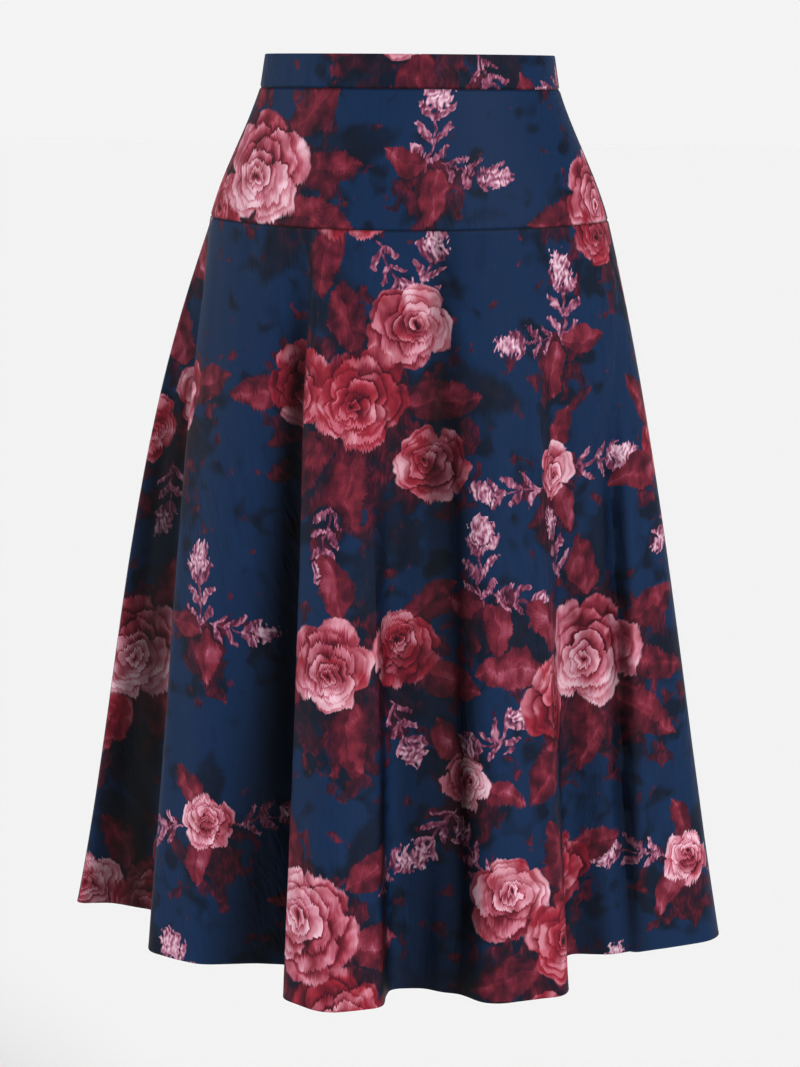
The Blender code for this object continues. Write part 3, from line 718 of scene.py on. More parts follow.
def upper_pieces(kind, level_of, depth, wall, spacing):
    """The three pieces of the yoke or of the waistband."""
    steps = np.array(SEAM_STEPS) / depth
    top_steps = [0.0] if kind == "waistband" else steps
    shares = spread(0.0, 1.0, spacing / depth, (top_steps, steps))
    levels = [level_of(share) for share in shares]
    sample = float(lengths(levels[-1][0]).mean())
    turns = (RIGHT_SIDE, LEFT_SIDE, CENTRE_BACK, 360.0 + RIGHT_SIDE)
    seams = [turn * OUTLINE_SAMPLES / 360.0 for turn in turns]
    ends = [np.array(SEAM_STEPS) / sample] * 2
    for side, first, last in zip(("front", "back_left", "back_right"), seams, seams[1:]):
        columns = spread(first, last, FINE / sample, ends)
        yield Piece(kind, side, levels, shares, columns, wall)


def make_cloth(skirt, materials):
    lower = list(lower_pieces(skirt))
    pieces = lower + list(upper_pieces("yoke", yoke_level, YOKE_DEPTH, CLOTH_WALL, COARSE))
    pieces += upper_pieces("waistband", band_level, BAND_DEPTH, BAND_WALL, BAND_FINE)
    for piece in pieces:
        height, near = relief(piece), near_tapes(piece)
        shown = height + near * (np.maximum(height, -SEAM_SINK) - height)
        hidden = height + near * (np.maximum(height, 0.0) - height)
        piece.surface = piece.outer + piece.normals * shown[..., None]
        piece.lining = piece.outer + piece.normals * hidden[..., None]
    shade_hollows(lower)
    # Painted shade in the hollows SHADOWS lists, and painted light where its amount is negative.
    for piece in lower:
        for shadow in SHADOWS:
            amount = along_line(piece, shadow)
            change = np.where(amount > 0, -amount * piece.shade, -amount * (1 - piece.shade))
            piece.shade = piece.shade + change
    for piece in pieces:
        # Painted shade down in the level seams.
        seam = np.exp(-((piece.from_level_seams() / SEAM_SINK_REACH) ** 2))
        # Painted light on creases that stand out, and painted shade in those that sink in.
        tone = 1 + CREASE_PAINTED_SHADING * crease_relief(piece)
        piece.shade = piece.shade * (1 - SEAM_PAINTED_SHADE * seam) * tone
        make_piece(piece, materials)


# ---------------------------------------------------------------- the print's motifs
# The print is one repeating cloth, from which every piece is cut. The motifs of each spray, by
# layer: x, y upwards in millimetres, turn in degrees, size in millimetres, and tint, from 0,
# deep, to 1, pale.
TILE = np.array([0.62, 0.70])
SPRAYS = {
    "posy": {
        "bloom_front": ((0, 0, 20, 54, 0.90),),
        "bloom_back": ((30, -76, 200, 46, 0.02),),
        "leaf_dark": (
            (-70, 62, 130, 46, 0.2), (104, -50, -24, 50, 0.6), (-36, -112, 240, 50, 0.4),
            (60, 80, 60, 40, 0.1),
        ),
        "leaf_front": (
            (-80, -8, 168, 38, 0.30), (78, -18, -8, 38, 0.70), (92, -84, -38, 32, 0.80),
            (14, -138, 262, 30, 0.20),
        ),
        "leaf_back": (
            (-62, 36, 140, 30, 0.10), (-44, -62, 226, 36, 0.25), (-18, 74, 104, 32, 0.20),
            (60, 52, 40, 28, 0.45),
        ),
        "sprig": ((100, 46, 32, 38, 0.80), (72, -148, -58, 34, 0.70)),
    },
    "mass": {
        "bloom_front": ((0, 0, 90, 46, 0.00), (-36, -78, 160, 34, 0.30)),
        "bloom_back": ((-58, 40, 300, 40, 0.65), (56, 36, 30, 40, 0.05)),
        "leaf_dark": (
            (0, 90, 95, 46, 0.5), (80, -40, -30, 50, 0.3), (-90, -40, 205, 48, 0.7),
            (6, -118, 268, 44, 0.1),
        ),
        "leaf_front": ((62, -36, -36, 34, 0.10), (-12, 72, 96, 32, 0.15)),
        "leaf_back": (
            (34, -70, -66, 34, 0.30), (-66, -30, 196, 34, 0.15), (100, 56, 22, 28, 0.50),
        ),
        "sprig": ((-94, 82, 128, 36, 0.85), (80, -98, -50, 36, 0.60)),
    },
    "pair": {
        "bloom_front": ((-20, 16, 130, 42, 0.60),),
        "bloom_back": ((44, -24, 310, 36, 0.12),),
        "leaf_dark": ((-64, -10, 190, 42, 0.3), (58, 50, 40, 40, 0.5), (16, -78, -80, 42, 0.1)),
        "leaf_front": (
            (-70, 34, 150, 32, 0.30), (24, 66, 68, 30, 0.60), (64, -74, -52, 30, 0.50),
        ),
        "leaf_back": ((-40, -48, 236, 32, 0.20), (90, -6, 6, 28, 0.25)),
        "sprig": ((4, -88, -100, 34, 0.75),),
    },
    "bud": {
        "bloom_front": ((0, 0, 250, 27, 1.00),),
        "leaf_dark": ((-36, 10, 165, 32, 0.2),),
        "leaf_front": ((38, -8, -14, 22, 0.85),),
        "leaf_back": ((-20, 32, 118, 22, 0.45),),
        "sprig": ((-28, -54, 236, 34, 0.80), (34, 52, 58, 38, 1.00)),
    },
    "twig": {
        "leaf_front": ((0, -34, -96, 24, 0.70),),
        "leaf_back": ((-24, 0, 160, 22, 0.55),),
        "sprig": ((0, 30, 84, 42, 0.95), (36, -16, -24, 34, 0.70)),
    },
}
# Where each spray lies in the repeat: name, x, y, turn in degrees, and whether it is mirrored.
PLACES = (
    ("posy", 0.10, 0.11, 0, False), ("posy", 0.42, 0.36, -30, True),
    ("mass", 0.15, 0.56, 25, True), ("mass", 0.38, 0.11, 10, False),
    ("pair", 0.52, 0.57, -20, True), ("pair", 0.15, 0.335, 40, False),
    ("bud", 0.265, 0.235, 0, False), ("bud", 0.56, 0.19, 60, True),
    ("bud", 0.34, 0.51, -40, False), ("twig", 0.27, 0.40, 20, False),
    ("twig", 0.33, 0.63, 0, True), ("twig", 0.58, 0.37, 0, False), ("twig", 0.53, 0.03, 30, False),
)
LAYERS = ("leaf_dark", "sprig", "leaf_back", "leaf_front", "bloom_back", "bloom_front")
# How wide each kind of motif is, as a share of its length.
WIDTHS = {"leaf": 0.6, "sprig": 0.55, "bloom": 1.0}
SEED_STEP = 0.377
# How far the dark foliage reaches round each spray, and how far below its middle it is centred.
FOLIAGE = {"posy": 1.15, "mass": 1.25, "pair": 0.95, "bud": 0.5, "twig": 0.45}
FOLIAGE_REACH, FOLIAGE_DROP = 0.115, 0.03
# Where the middle of each piece's top edge lies on the printed cloth.
PRINT_AT = {
    "waistband_front": (0.12, 0.30), "waistband_back_left": (0.50, 0.62),
    "waistband_back_right": (0.30, 0.12), "yoke_front": (0.54, 0.43),
    "yoke_back_left": (0.08, 0.18), "yoke_back_right": (0.46, 0.66),
    "skirt_front": (0.16, 0.00), "skirt_back_left": (0.50, 0.42), "skirt_back_right": (0.05, 0.60),
}


def motifs_of(layer):
    """The motifs of one layer in one repeat: x, y, turn in radians, size and tint."""
    for name, x, y, turn, mirrored in PLACES:
        c, s = math.cos(math.radians(turn)), math.sin(math.radians(turn))
        for mx, my, angle, size, tint in SPRAYS[name].get(layer, ()):
            mx, my = mx / 1000, my / 1000
            if mirrored:
                mx, angle = -mx, 180 - angle
            middle = x + mx * c - my * s, y + mx * s + my * c
            yield *middle, math.radians(angle + turn), size / 1000, tint


def wrapped(offset):
    """The offset to the nearest repeat."""
    return offset - TILE * np.round(offset / TILE)


def add_print(mesh, faces, flat):
    """Gives each face, for each layer of the print, the motif that reaches it, and returns the
    depth of the foliage shadow at each point."""
    middle = flat[faces].mean(axis=1)
    for layer in LAYERS:
        wide = WIDTHS[layer.split("_")[0]]
        best = np.full(len(middle), math.inf)
        place, turned = np.zeros((2, len(middle), 3))
        for number, (x, y, turn, size, tint) in enumerate(motifs_of(layer)):
            offset = wrapped(middle - (x, y))
            c, s = math.cos(turn), math.sin(turn)
            along = (offset[:, 0] * c + offset[:, 1] * s) / size
            across = (offset[:, 1] * c - offset[:, 0] * s) / (size * wide)
            distance = np.hypot(along, across)
            nearer = distance < best
            best[nearer] = distance[nearer]
            place[nearer, :2] = (middle - offset)[nearer]
            place[nearer, 2] = number * SEED_STEP % 1.0
            turned[nearer] = (c / size, s / size, tint)
        set_values(mesh, f"{layer}_place", "FACE", place)
        set_values(mesh, f"{layer}_frame", "FACE", turned)
    depth = np.zeros(len(flat))
    for name, x, y, *_ in PLACES:
        reach = FOLIAGE_REACH * FOLIAGE[name]
        offset = wrapped(flat - (x, y - FOLIAGE_DROP))
        depth = np.maximum(depth, np.exp(-(offset**2).sum(axis=1) / reach**2))
    return depth


# ---------------------------------------------------------------- material language
def operator(operation, swapped=False):
    def apply(field, other):
        return calc(operation, *((other, field) if swapped else (field, other)))

    return apply


class Field:
    """A number that varies over a surface, as the output of a shader node."""

    def __init__(self, tree, socket):
        self.tree, self.socket = tree, socket

    __add__ = __radd__ = operator("ADD")
    __mul__ = __rmul__ = operator("MULTIPLY")
    __sub__, __rsub__ = operator("SUBTRACT"), operator("SUBTRACT", swapped=True)
    __truediv__, __pow__ = operator("DIVIDE"), operator("POWER")


def plug(tree, value, socket):
    """Feeds a socket with a field, another socket or a fixed value."""
    if isinstance(value, Field):
        value = value.socket
    if isinstance(value, bpy.types.NodeSocket):
        tree.links.new(value, socket)
    else:
        socket.default_value = value


def new_node(tree, kind, *values, **settings):
    """A shader node with these values in its first sockets."""
    node = tree.nodes.new("ShaderNode" + kind)
    for name, setting in settings.items():
        setattr(node, name, setting)
    for socket, value in zip(node.inputs, values):
        plug(tree, value, socket)
    return node


def calc(operation, *values):
    tree = next(value.tree for value in values if isinstance(value, Field))
    return Field(tree, new_node(tree, "Math", *values, operation=operation).outputs[0])


def clamped(value, slope=1.0):
    """A value times its slope, kept from 0 to 1."""
    node = new_node(value.tree, "Math", value, slope, operation="MULTIPLY", use_clamp=True)
    return Field(value.tree, node.outputs[0])


def fraction(value):
    return calc("FRACT", value)


def size_of(value):
    return calc("ABSOLUTE", value)


def larger(value, other):
    return calc("MAXIMUM", value, other)


def is_less(value, limit):
    return calc("LESS_THAN", value, limit)


def in_range(value, low, high):
    return calc("GREATER_THAN", value, low) * is_less(value, high)


def parts_of(tree, vector):
    return [Field(tree, part) for part in new_node(tree, "SeparateXYZ", vector).outputs]


def attribute(tree, name):
    """The three parts of a mesh attribute."""
    return parts_of(tree, new_node(tree, "Attribute", attribute_name=name).outputs["Vector"])


def noise(x, y, detail=0.0):
    """Noise between about -0.5 and 0.5 at this place, one bump to a unit."""
    place = new_node(x.tree, "CombineXYZ", x, y, 0.0).outputs[0]
    node = new_node(x.tree, "TexNoise", place, noise_dimensions="2D")
    node.inputs["Scale"].default_value = 1.0
    node.inputs["Detail"].default_value = detail
    return Field(x.tree, node.outputs["Fac"]) - 0.5


def mixed(factor, under, over):
    """One colour over another; each is a socket or a fixed colour."""
    node = new_node(factor.tree, "Mix", data_type="RGBA")
    for place, value in ((0, factor), (6, under), (7, over)):
        plug(factor.tree, value, node.inputs[place])
    return node.outputs[2]


def srgb(*levels):
    """A colour from its red, green and blue, 0 to 255."""
    shares = [level / 255.0 for level in levels]
    return (*(s / 12.92 if s <= 0.04045 else ((s + 0.055) / 1.055) ** 2.4 for s in shares), 1.0)


def ramp(value, *stops):
    """The colour at a value, between stops of a place, red, green and blue."""
    node = new_node(value.tree, "ValToRGB", value)
    elements = node.color_ramp.elements
    while len(elements) < len(stops):
        elements.new(0.5)
    for element, (place, *levels) in zip(elements, stops):
        element.position, element.color = place, srgb(*levels)
    return node.outputs[0]


def new_material(name, roughness, specular):
    material = bpy.data.materials.new(name)
    material.use_nodes = True
    shader = material.node_tree.nodes["Principled BSDF"]
    shader.inputs["Roughness"].default_value = roughness
    shader.inputs["Specular IOR Level"].default_value = specular
    return material, material.node_tree, shader


def dress(tree, shader, colour, height, strength, distance):
    """Gives a material its colour and its bumps."""
    plug(tree, colour, shader.inputs["Base Color"])
    bump = new_node(tree, "Bump")
    for name, value in (("Strength", strength), ("Distance", distance), ("Height", height)):
        plug(tree, value, bump.inputs[name])
    plug(tree, bump.outputs[0], shader.inputs["Normal"])


# ---------------------------------------------------------------- the printed cloth
NAVY, SHADOW_NAVY = srgb(14, 38, 70), srgb(10, 22, 40)
PALE_STOPS = (
    (0.00, 46, 12, 26), (0.22, 110, 26, 42), (0.38, 150, 52, 70), (0.56, 184, 96, 116),
    (0.78, 210, 144, 162), (1.00, 230, 190, 204),
)
BUD_STOPS = (
    (0.00, 44, 16, 36), (0.30, 98, 42, 66), (0.50, 142, 78, 104), (0.72, 188, 136, 158),
    (1.00, 226, 196, 210),
)
DEEP_STOPS = (
    (0.00, 30, 10, 20), (0.25, 74, 16, 30), (0.50, 116, 24, 40), (0.75, 144, 36, 52),
    (0.92, 162, 62, 78), (1.00, 184, 92, 110),
)
LEAF_STOPS = (
    (0.00, 34, 14, 26), (0.30, 78, 22, 38), (0.55, 114, 34, 50), (0.80, 146, 66, 86),
    (1.00, 184, 116, 138),
)
DARK_LEAF_STOPS = ((0.00, 8, 16, 30), (0.55, 14, 22, 38), (1.00, 30, 26, 40))
BOUGH_STOPS = ((0.00, 20, 14, 26), (0.45, 54, 17, 30), (0.75, 88, 22, 38), (1.00, 112, 34, 52))
# Rings of petals from outside in: radius, petals, turn, and how far off the centre.
PETAL_RINGS = (
    (1.00, 5, 0.00, 0.00), (0.82, 4, 0.43, 0.05), (0.63, 4, 0.10, 0.10),
    (0.45, 3, 0.70, 0.15), (0.29, 3, 0.30, 0.19), (0.15, 2, 0.80, 0.21),
)
LEAFLET_PITCH, LEAFLET_LENGTH, LEAFLET_REACH = 2.2, 0.13, 0.20
THREAD_BUMP = (0.35, 0.0003)  # strength and height


def shuffled(value):
    """A number from 0 to 1 that differs from each whole value to the next."""
    return fraction(calc("SINE", value * 91.7) * 53.1)


def motif_place(tree, layer, x, y):
    """A point's place on its motif, in the motif's own size, with its seed and tint."""
    cx, cy, seed = attribute(tree, f"{layer}_place")
    c, s, tint = attribute(tree, f"{layer}_frame")
    dx, dy = x - cx, y - cy
    return dx * c + dy * s, dy * c - dx * s, seed, tint


def bloom(u, v, seed, tint, streak, blotch):
    """A full blossom of cupped petals, seen from a little below: its mask and colour."""
    tone, cover = None, None
    for radius, petals, turn, shift in PETAL_RINGS:
        cu, cv = u + shift * 0.4, v - shift
        reach = calc("SQRT", cu * cu + cv * cv)
        around = calc("ARCTAN2", cv, cu) * (petals / math.tau) + seed * 3.0 + (turn + 8.0)
        cell = calc("FLOOR", calc("MODULO", around, float(petals)))
        petal = shuffled(cell + seed * 5.0 + turn)
        ring = fraction(around) * 2.0 - 1.0
        notch = size_of(ring) ** 4.0
        edge = radius * (0.92 - 0.20 * notch + petal * 0.10) + streak * 0.10
        inside = (edge - reach) / radius
        fresh = 0.62 - inside * 2.1 + petal * 0.75 + ring * 0.16 - notch * 0.35 + streak * 0.8
        mask, shadow = clamped(inside, 24.0), clamped(inside + 0.12, 8.0)
        if tone is None:
            tone, cover = fresh, mask
        else:
            tone = tone - shadow * (1.0 - mask) * (0.40 + blotch * 1.6)
            tone = tone + (fresh - tone) * mask
    light = clamped(tone * 0.58 + 0.32 + blotch * 0.80 + (v - u) * 0.13)
    return cover, mixed(clamped(tint), ramp(light, *DEEP_STOPS), ramp(light, *PALE_STOPS))


def leaf(u, v, seed, tint, streak, blotch, crisp, stops):
    """A toothed leaf with a midrib and side veins: its mask and colour."""
    arch = larger(1.0 - u * u, 0.0)
    bent = v - arch * (seed - 0.5) * 0.5
    off = size_of(bent)
    tooth = fraction(u * 6.0 - off * 2.0) * 0.07
    half_width = (arch ** 0.7) * (0.56 - u * 0.18) - tooth * arch + streak * 0.03
    vein = size_of(fraction((u - off * 1.1) * 4.5) - 0.5) * 2.0
    rib, side, fine = clamped(1.0 - off * 26.0), clamped(bent, 30.0), clamped(vein - 0.76, 5.0)
    tone = 0.26 + tint * 0.36 + side * 0.14 + (vein - 0.5) * 0.08 - fine * 0.15 + rib * 0.18
    tone = tone + blotch * 0.9 + streak * 0.22 - clamped(off / larger(half_width, 0.05), 0.16)
    return clamped(half_width - off, crisp), ramp(clamped(tone), *stops)


def sprig(u, v, seed, tint, streak, frill):
    """A thin stem with paired leaflets and a frilled bud at its end: its mask and colour."""
    bent = v - (u + 1.0) * (u + 1.0) * (seed - 0.5) * 0.22
    off = size_of(bent)
    stem = is_less(off, 0.030) * is_less(size_of(u + 0.2), 0.80)
    slant = u - off * 0.9
    step = (fraction(slant * LEAFLET_PITCH + 0.3) - 0.5) * (1 / LEAFLET_PITCH)
    across = (off - LEAFLET_REACH) / LEAFLET_REACH
    leaflet = 1.0 - ((step / LEAFLET_LENGTH) ** 2.0 + across ** 2.0) + frill * 1.1
    leaf_mask = clamped(leaflet, 6.0) * is_less(size_of(slant + 0.30), 0.58)
    bud_u = u - 0.60
    reach = bud_u * bud_u * 8.0 + bent * bent * 13.0
    bud = 1.0 - reach + frill * 1.6
    bud_mask = clamped(bud, 8.0) * is_less(reach, 1.7)
    tone = 0.24 + leaf_mask * 0.08 + bud_mask * (0.14 + bud * 0.22) + streak * 1.2 + frill * 0.5
    mask = larger(larger(stem, leaf_mask), bud_mask)
    return mask, ramp(clamped(tone + tint * 0.24 - 0.08), *BUD_STOPS)


def printed_cloth():
    material, tree, shader = new_material("printed_cloth", 0.6, 0.1)
    x, y, shadow = attribute(tree, "cloth")
    # The painted shade of hollows, seams and creases, which scales the colour below.
    shade = attribute(tree, "shade_and_trim")[0]
    # The print's edges feather along the threads, and wander.
    patch = clamped(noise(x * 13.0 + 5.0, y * 13.0) * 4.0 + 0.55)
    feather = noise(x * 760.0, y * 60.0) * (patch * 0.0045 + 0.001)
    wx = x + noise(x * 60.0, y * 60.0, 1.0) * 0.010
    wy = y + noise(x * 60.0 + 31.0, y * 60.0, 1.0) * 0.010 + feather
    streak = noise(wx * 420.0, wy * 130.0, 1.0) * 0.5 + noise(wx * 90.0, wy * 60.0 + 7.0, 1.0) * 0.5
    frill = noise(wx * 340.0, wy * 240.0 + 3.0)
    blotch = noise(wx * 85.0 + 5.0, wy * 65.0, 1.0)
    blush = noise(wx * 42.0 + 17.0, wy * 42.0, 1.0) * 2.2

    under = noise(wx * 26.0 + 3.0, wy * 26.0, 2.0) + noise(wx * 60.0, wy * 60.0 + 9.0) * 0.6
    dark = clamped(under + shadow * 0.62 - 0.34, 5.0)
    mass = noise(wx * 46.0 + 11.0, wy * 46.0, 1.0) + blotch * 0.5 + frill * 0.12
    deep = clamped(mass + shadow * 0.75 - 0.52, 16.0)
    boughs = ramp(clamped(streak * 1.5 + blotch * 1.1 + 0.42), *BOUGH_STOPS)
    colour = mixed(deep * 0.85, mixed(dark, NAVY, SHADOW_NAVY), boughs)
    for layer in LAYERS:
        u, v, seed, tint = motif_place(tree, layer, wx, wy)
        if layer == "sprig":
            mask, over = sprig(u, v, seed, tint, streak, frill)
        elif layer == "leaf_dark":
            mask, over = leaf(u, v, seed, tint, streak, blotch, 5.0, DARK_LEAF_STOPS)
            mask = mask * (0.60 + patch * 0.3)
        elif layer.startswith("leaf"):
            mask, over = leaf(u, v, seed, tint, streak, blotch, 26.0, LEAF_STOPS)
        else:
            mask, over = bloom(u, v, seed, tint + blush - 0.12, streak, blotch)
        colour = mixed(mask, colour, over)

    # Crumples bump the cloth in patches, and their painted shade and light change its colour.
    crumple_patches = clamped(noise(x * 7.0 + 3.0, y * 6.0) * 4.0 + 0.35)
    crumple = noise(x * 120.0 + y * 22.0, y * 34.0 - x * 14.0, 1.5) * crumple_patches
    weave = noise(x * 1500.0, y * 1500.0) * 0.10 + noise(x * 380.0, y * 22.0) * 0.10
    # Colour times painted shade, the weave's own tone and the crumples' painted light and shade.
    woven_and_shaded = new_node(tree, "VectorMath", colour, operation="SCALE")
    plug(tree, shade * (1.0 + weave + crumple * 0.40), woven_and_shaded.inputs["Scale"])
    threads = noise(x * 1700.0, y * 900.0) + noise(x * 900.0, y * 1700.0)
    dress(tree, shader, woven_and_shaded.outputs[0], threads + size_of(crumple) * 16.0, *THREAD_BUMP)
    return material


def cloth_reverse():
    """The unprinted side: navy, a little duller, with the threads showing, and the overlocked
    edges of the seam allowances."""
    material, tree, shader = new_material("cloth_reverse", 0.75, 0.15)
    x, y = attribute(tree, "cloth")[:2]
    away, along = attribute(tree, "shade_and_trim")[1:]
    threads = noise(x * 1300.0, y * 160.0) + noise(x * 160.0, y * 1300.0)
    tone = clamped(threads * 0.8 + 0.5 + noise(x * 30.0, y * 30.0, 2.0) * 0.3)
    plain = ramp(tone, (0.0, 18, 30, 54), (0.5, 25, 42, 72), (1.0, 36, 56, 88))
    loop = size_of(fraction(along / 0.0014 + away * 160.0) - 0.5) * 2.0
    edge = in_range(away, ALLOWANCE - 0.0042, ALLOWANCE + 0.0002)
    thread = ramp(loop, (0.0, 20, 32, 58), (1.0, 58, 78, 110))
    seam = in_range(away, 0.0, 0.0007)
    colour = mixed(seam * 0.7, mixed(edge, plain, thread), srgb(10, 18, 34))
    dress(tree, shader, colour, threads + edge * loop * 2.5, *THREAD_BUMP)
    return material


# ---------------------------------------------------------------- the zip's finishes
def zip_finish(name, roughness, specular):
    """A material with a CAD object's own coordinates, in metres."""
    material, tree, shader = new_material(name, roughness, specular)
    return material, tree, shader, *parts_of(tree, new_node(tree, "TexCoord").outputs["Object"])


def zip_tape_material():
    """Close woven navy tape: a fine twill with a stitched line beside the coil."""
    material, tree, shader, x, _, z = zip_finish("zip_tape", 0.8, 0.15)
    twill = size_of(fraction((x + z) / 0.0008) - 0.5) * 2.0
    rib = size_of(fraction(size_of(x) / 0.0021) - 0.5) * 2.0
    tone = clamped(twill * 0.5 + rib * 0.25 + noise(x * 500.0, z * 500.0) * 0.5)
    woven = ramp(tone, (0.0, 10, 17, 32), (0.6, 20, 32, 56), (1.0, 34, 48, 76))
    line = is_less(size_of(size_of(x) - 0.0052), 0.0004)
    stitch = line * is_less(fraction(z / 0.0026), 0.72)
    colour = mixed(stitch, woven, srgb(52, 70, 102))
    dress(tree, shader, colour, twill + stitch * 3.0, 0.5, 0.00015)
    return material


def lacquer_material():
    """Satin navy lacquer on small cast metal, paler where hands rub it."""
    material, tree, shader, x, y, z = zip_finish("navy_lacquer", 0.36, 0.5)
    cloud = noise(x * 300.0 + y * 170.0, z * 240.0, 2.0)
    rubbed = clamped(noise(x * 900.0, z * 700.0 + y * 500.0, 1.0) - 0.16, 7.0)
    base = ramp(clamped(cloud + 0.5), (0.2, 20, 32, 60), (0.8, 30, 46, 80))
    plug(tree, 0.38 + cloud * 0.20 - rubbed * 0.08, shader.inputs["Roughness"])
    shader.inputs["Coat Weight"].default_value = 0.25
    grain = cloud + noise(x * 2600.0, z * 2600.0 + y * 900.0) * 0.4
    dress(tree, shader, mixed(rubbed * 0.55, base, srgb(74, 86, 108)), grain, 0.25, 0.0001)
    return material


def coil_material():
    """The dyed nylon of the zip's coil."""
    material, tree, shader, x, _, z = zip_finish("zip_coil", 0.42, 0.4)
    tone = clamped(noise(x * 1400.0, z * 260.0, 1.0) + 0.5)
    colour = ramp(tone, (0.2, 16, 26, 48), (0.8, 36, 52, 84))
    dress(tree, shader, colour, noise(x * 3000.0, z * 600.0), 0.2, 0.0001)
    return material


def finish_cad_nodes():
    tape, metal = zip_tape_material(), lacquer_material()
    for node, material in (
        ("zip_tape_left", tape), ("zip_tape_right", tape),
        ("zip_slider", metal), ("zip_pull", metal),
    ):
        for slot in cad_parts[node].material_slots:
            slot.material = material


# ---------------------------------------------------------------- the zip's coil
COIL_PITCH, COIL_WIRE, COIL_SIDES = 0.0014, 0.00078, 8
COIL_REACH, COIL_OVERLAP = 0.0027, 0.0006  # how far each loop reaches over its tape, and past x = 0
COIL_TOP_GAP, COIL_END_GAP = 0.0006, 0.004  # below the slider, and above the ends of the tapes
# Rings along a loop: how far across, how thick, and how far off the tape.
COIL_RINGS = (
    (-COIL_OVERLAP - 0.0004, 0.25, 1.0), (-COIL_OVERLAP - 0.0002, 1.15, 1.0),
    (COIL_OVERLAP * 0.4, 1.1, 1.0), (COIL_OVERLAP, 0.8, 1.0),
    (COIL_REACH - 0.0004, 0.85, 1.0), (COIL_REACH, 0.3, 0.6),
)
TAPE_END_SHARE = 0.1  # how far down the lower skirt the tapes end


def tape_face(skirt):
    """Down the centre back, the height and depth of the tapes' inner faces."""
    behind = ZIP_CLEARANCE + TAPE_WALL
    half = OUTLINE_SAMPLES // 2
    points = [band_level(share)[0][half] - (0, BAND_WALL, 0) for share in (0.0, 1.0)]
    points += [yoke_level(share)[0][half] - (0, CLOTH_WALL, 0) for share in (0.25, 0.5, 0.75, 1.0)]
    column = np.array([skirt.column_of(CENTRE_BACK)])
    points.append(picked(skirt.level(TAPE_END_SHARE), column)[0][0] - (0, CLOTH_WALL, 0))
    line = np.array(points)[::-1]
    return line[:, 2], line[:, 1] - behind


def make_coil(skirt, material):
    """Two rows of nylon loops, which close the zip and lie on the inner faces of its tapes."""
    heights, depths = tape_face(skirt)
    top = SLIDER_HEIGHT - SLIDER_BODY_HEIGHT / 2 - COIL_TOP_GAP
    count = int((top - heights[0] - COIL_END_GAP) / COIL_PITCH)
    points, faces = [], []
    turns = [math.tau * k / COIL_SIDES for k in range(COIL_SIDES)]
    radius = COIL_WIRE / 2
    for number in range(2 * count):
        side = 1 if number % 2 else -1
        height = top - (number + 1) * COIL_PITCH / 2
        depth = float(np.interp(height, heights, depths))
        first = len(points)
        points += [
            (
                side * across,
                depth - radius * 1.25 * lift + radius * thick * math.cos(turn),
                height + radius * thick * math.sin(turn) * 0.9,
            )
            for across, thick, lift in COIL_RINGS
            for turn in turns
        ]
        index = np.arange(first, len(points)).reshape(-1, COIL_SIDES)
        ring = np.column_stack([index, index[:, :1]])
        loop = corners(ring[1:], ring[:-1]).reshape(-1, 4).tolist()
        loop += [index[0, ::-1].tolist(), index[-1].tolist()]
        faces += loop if side > 0 else [face[::-1] for face in loop]
    mesh = bpy.data.meshes.new("zip_coil")
    mesh.from_pydata(points, [], faces)
    mesh.shade_smooth()
    mesh.set_sharp_from_angle(angle=COIL_SHARP_ANGLE)
    mesh.materials.append(material)
    coil = new_object("zip_coil", mesh)
    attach(coil, "skirt")


# ---------------------------------------------------------------- stage, light and camera
CAMERA_DISTANCE, CAMERA_HEIGHT = 2.3, 0.010
CAMERA_AZIMUTH, CAMERA_PITCH = math.radians(10.0), math.radians(10.0)
CAMERA_AIM, CAMERA_ROLL = math.radians(0.12), math.radians(0.45)
SENSOR_HEIGHT, PHOTO_HEIGHT, PHOTO_FOCAL = 24.0, 1067, 2590.62

FLOOR_HEIGHT, FLOOR_HALF, FLOOR_COLOUR = -1.5, 60.0, (0.86, 0.86, 0.86, 1.0)
# Soft suns: name, azimuth from the front towards +X, elevation, softness in degrees, strength.
LIGHTS = (
    ("key", 45.0, 36.0, 22.0, 2.7),
    ("side", -76.0, 22.0, 22.0, 1.4),
    ("back", 185.0, 45.0, 50.0, 1.3),
)
# The sky is bright in a low ring, which the camera sees behind the skirt, and dim above it.
SKY_RING, SKY_ABOVE = 0.90, 0.04
SKY_RING_TOP, SKY_FADE = 0.15, 0.08  # both as the sine of the elevation


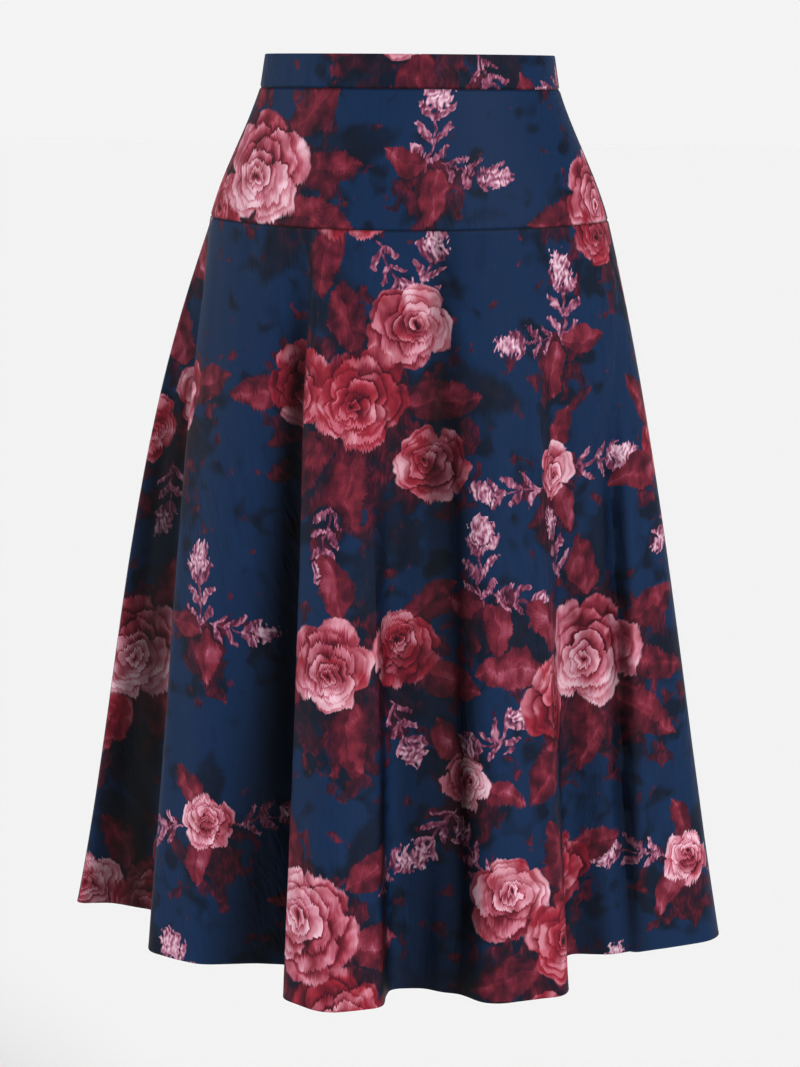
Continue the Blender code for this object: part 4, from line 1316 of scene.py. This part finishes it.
def make_camera():
    data = bpy.data.cameras.new("camera")
    data.sensor_fit = "VERTICAL"
    data.sensor_height = SENSOR_HEIGHT
    data.lens = SENSOR_HEIGHT * PHOTO_FOCAL / PHOTO_HEIGHT
    data.clip_start, data.clip_end = 0.05, 60.0
    yaw = CAMERA_AZIMUTH + CAMERA_AIM
    level = Vector((-math.sin(yaw), math.cos(yaw), 0.0))
    side = Vector((math.cos(yaw), math.sin(yaw), 0.0))
    up = level * math.sin(CAMERA_PITCH) + Vector((0, 0, math.cos(CAMERA_PITCH)))
    ahead = level * math.cos(CAMERA_PITCH) - Vector((0, 0, math.sin(CAMERA_PITCH)))
    right = side * math.cos(CAMERA_ROLL) + up * math.sin(CAMERA_ROLL)
    up = up * math.cos(CAMERA_ROLL) - side * math.sin(CAMERA_ROLL)
    turn = Matrix((right, up, -ahead)).transposed().to_4x4()
    out = Vector((math.sin(CAMERA_AZIMUTH), -math.cos(CAMERA_AZIMUTH), 0.0))
    place = out * CAMERA_DISTANCE + Vector((0, 0, CAMERA_HEIGHT))
    camera = new_object("camera", data)
    camera.matrix_world = Matrix.Translation(place) @ turn
    bpy.context.scene.camera = camera


def make_stage():
    mesh = bpy.data.meshes.new("floor")
    square = [(x * FLOOR_HALF, y * FLOOR_HALF, 0) for x, y in ((-1, -1), (1, -1), (1, 1), (-1, 1))]
    mesh.from_pydata(square, [], [(0, 1, 2, 3)])
    floor = new_object("floor", mesh)
    floor.location.z = FLOOR_HEIGHT
    material, tree, shader = new_material("stage_floor", 1.0, 0.0)
    shader.inputs["Base Color"].default_value = FLOOR_COLOUR
    mesh.materials.append(material)

    world = bpy.data.worlds.new("sky")
    bpy.context.scene.world = world
    world.use_nodes = True
    tree = world.node_tree
    background = tree.nodes["Background"]
    background.inputs["Color"].default_value = (1.0, 1.0, 1.0, 1.0)
    direction = new_node(tree, "TexCoord").outputs["Generated"]
    fade = new_node(
        tree, "MapRange", parts_of(tree, direction)[2], SKY_RING_TOP, SKY_RING_TOP + SKY_FADE,
        SKY_RING, SKY_ABOVE, interpolation_type="SMOOTHSTEP",
    )
    plug(tree, fade.outputs["Result"], background.inputs["Strength"])

    for name, azimuth, elevation, softness, strength in LIGHTS:
        data = bpy.data.lights.new(name, "SUN")
        data.angle, data.energy = math.radians(softness), strength
        turn, rise = math.radians(azimuth), math.radians(elevation)
        level = Vector((math.sin(turn), -math.cos(turn), 0.0))
        way = level * math.cos(rise) + Vector((0, 0, math.sin(rise)))
        light = new_object(name, data)
        light.location = way * 3.0
        light.rotation_euler = way.to_track_quat("Z", "Y").to_euler()
    view = bpy.context.scene.view_settings
    view.view_transform = "Standard"
    view.look = "None"


def main():
    make_camera()
    make_stage()
    skirt = LowerSkirt()
    make_cloth(skirt, (printed_cloth(), cloth_reverse()))
    make_coil(skirt, coil_material())
    finish_cad_nodes()


main()
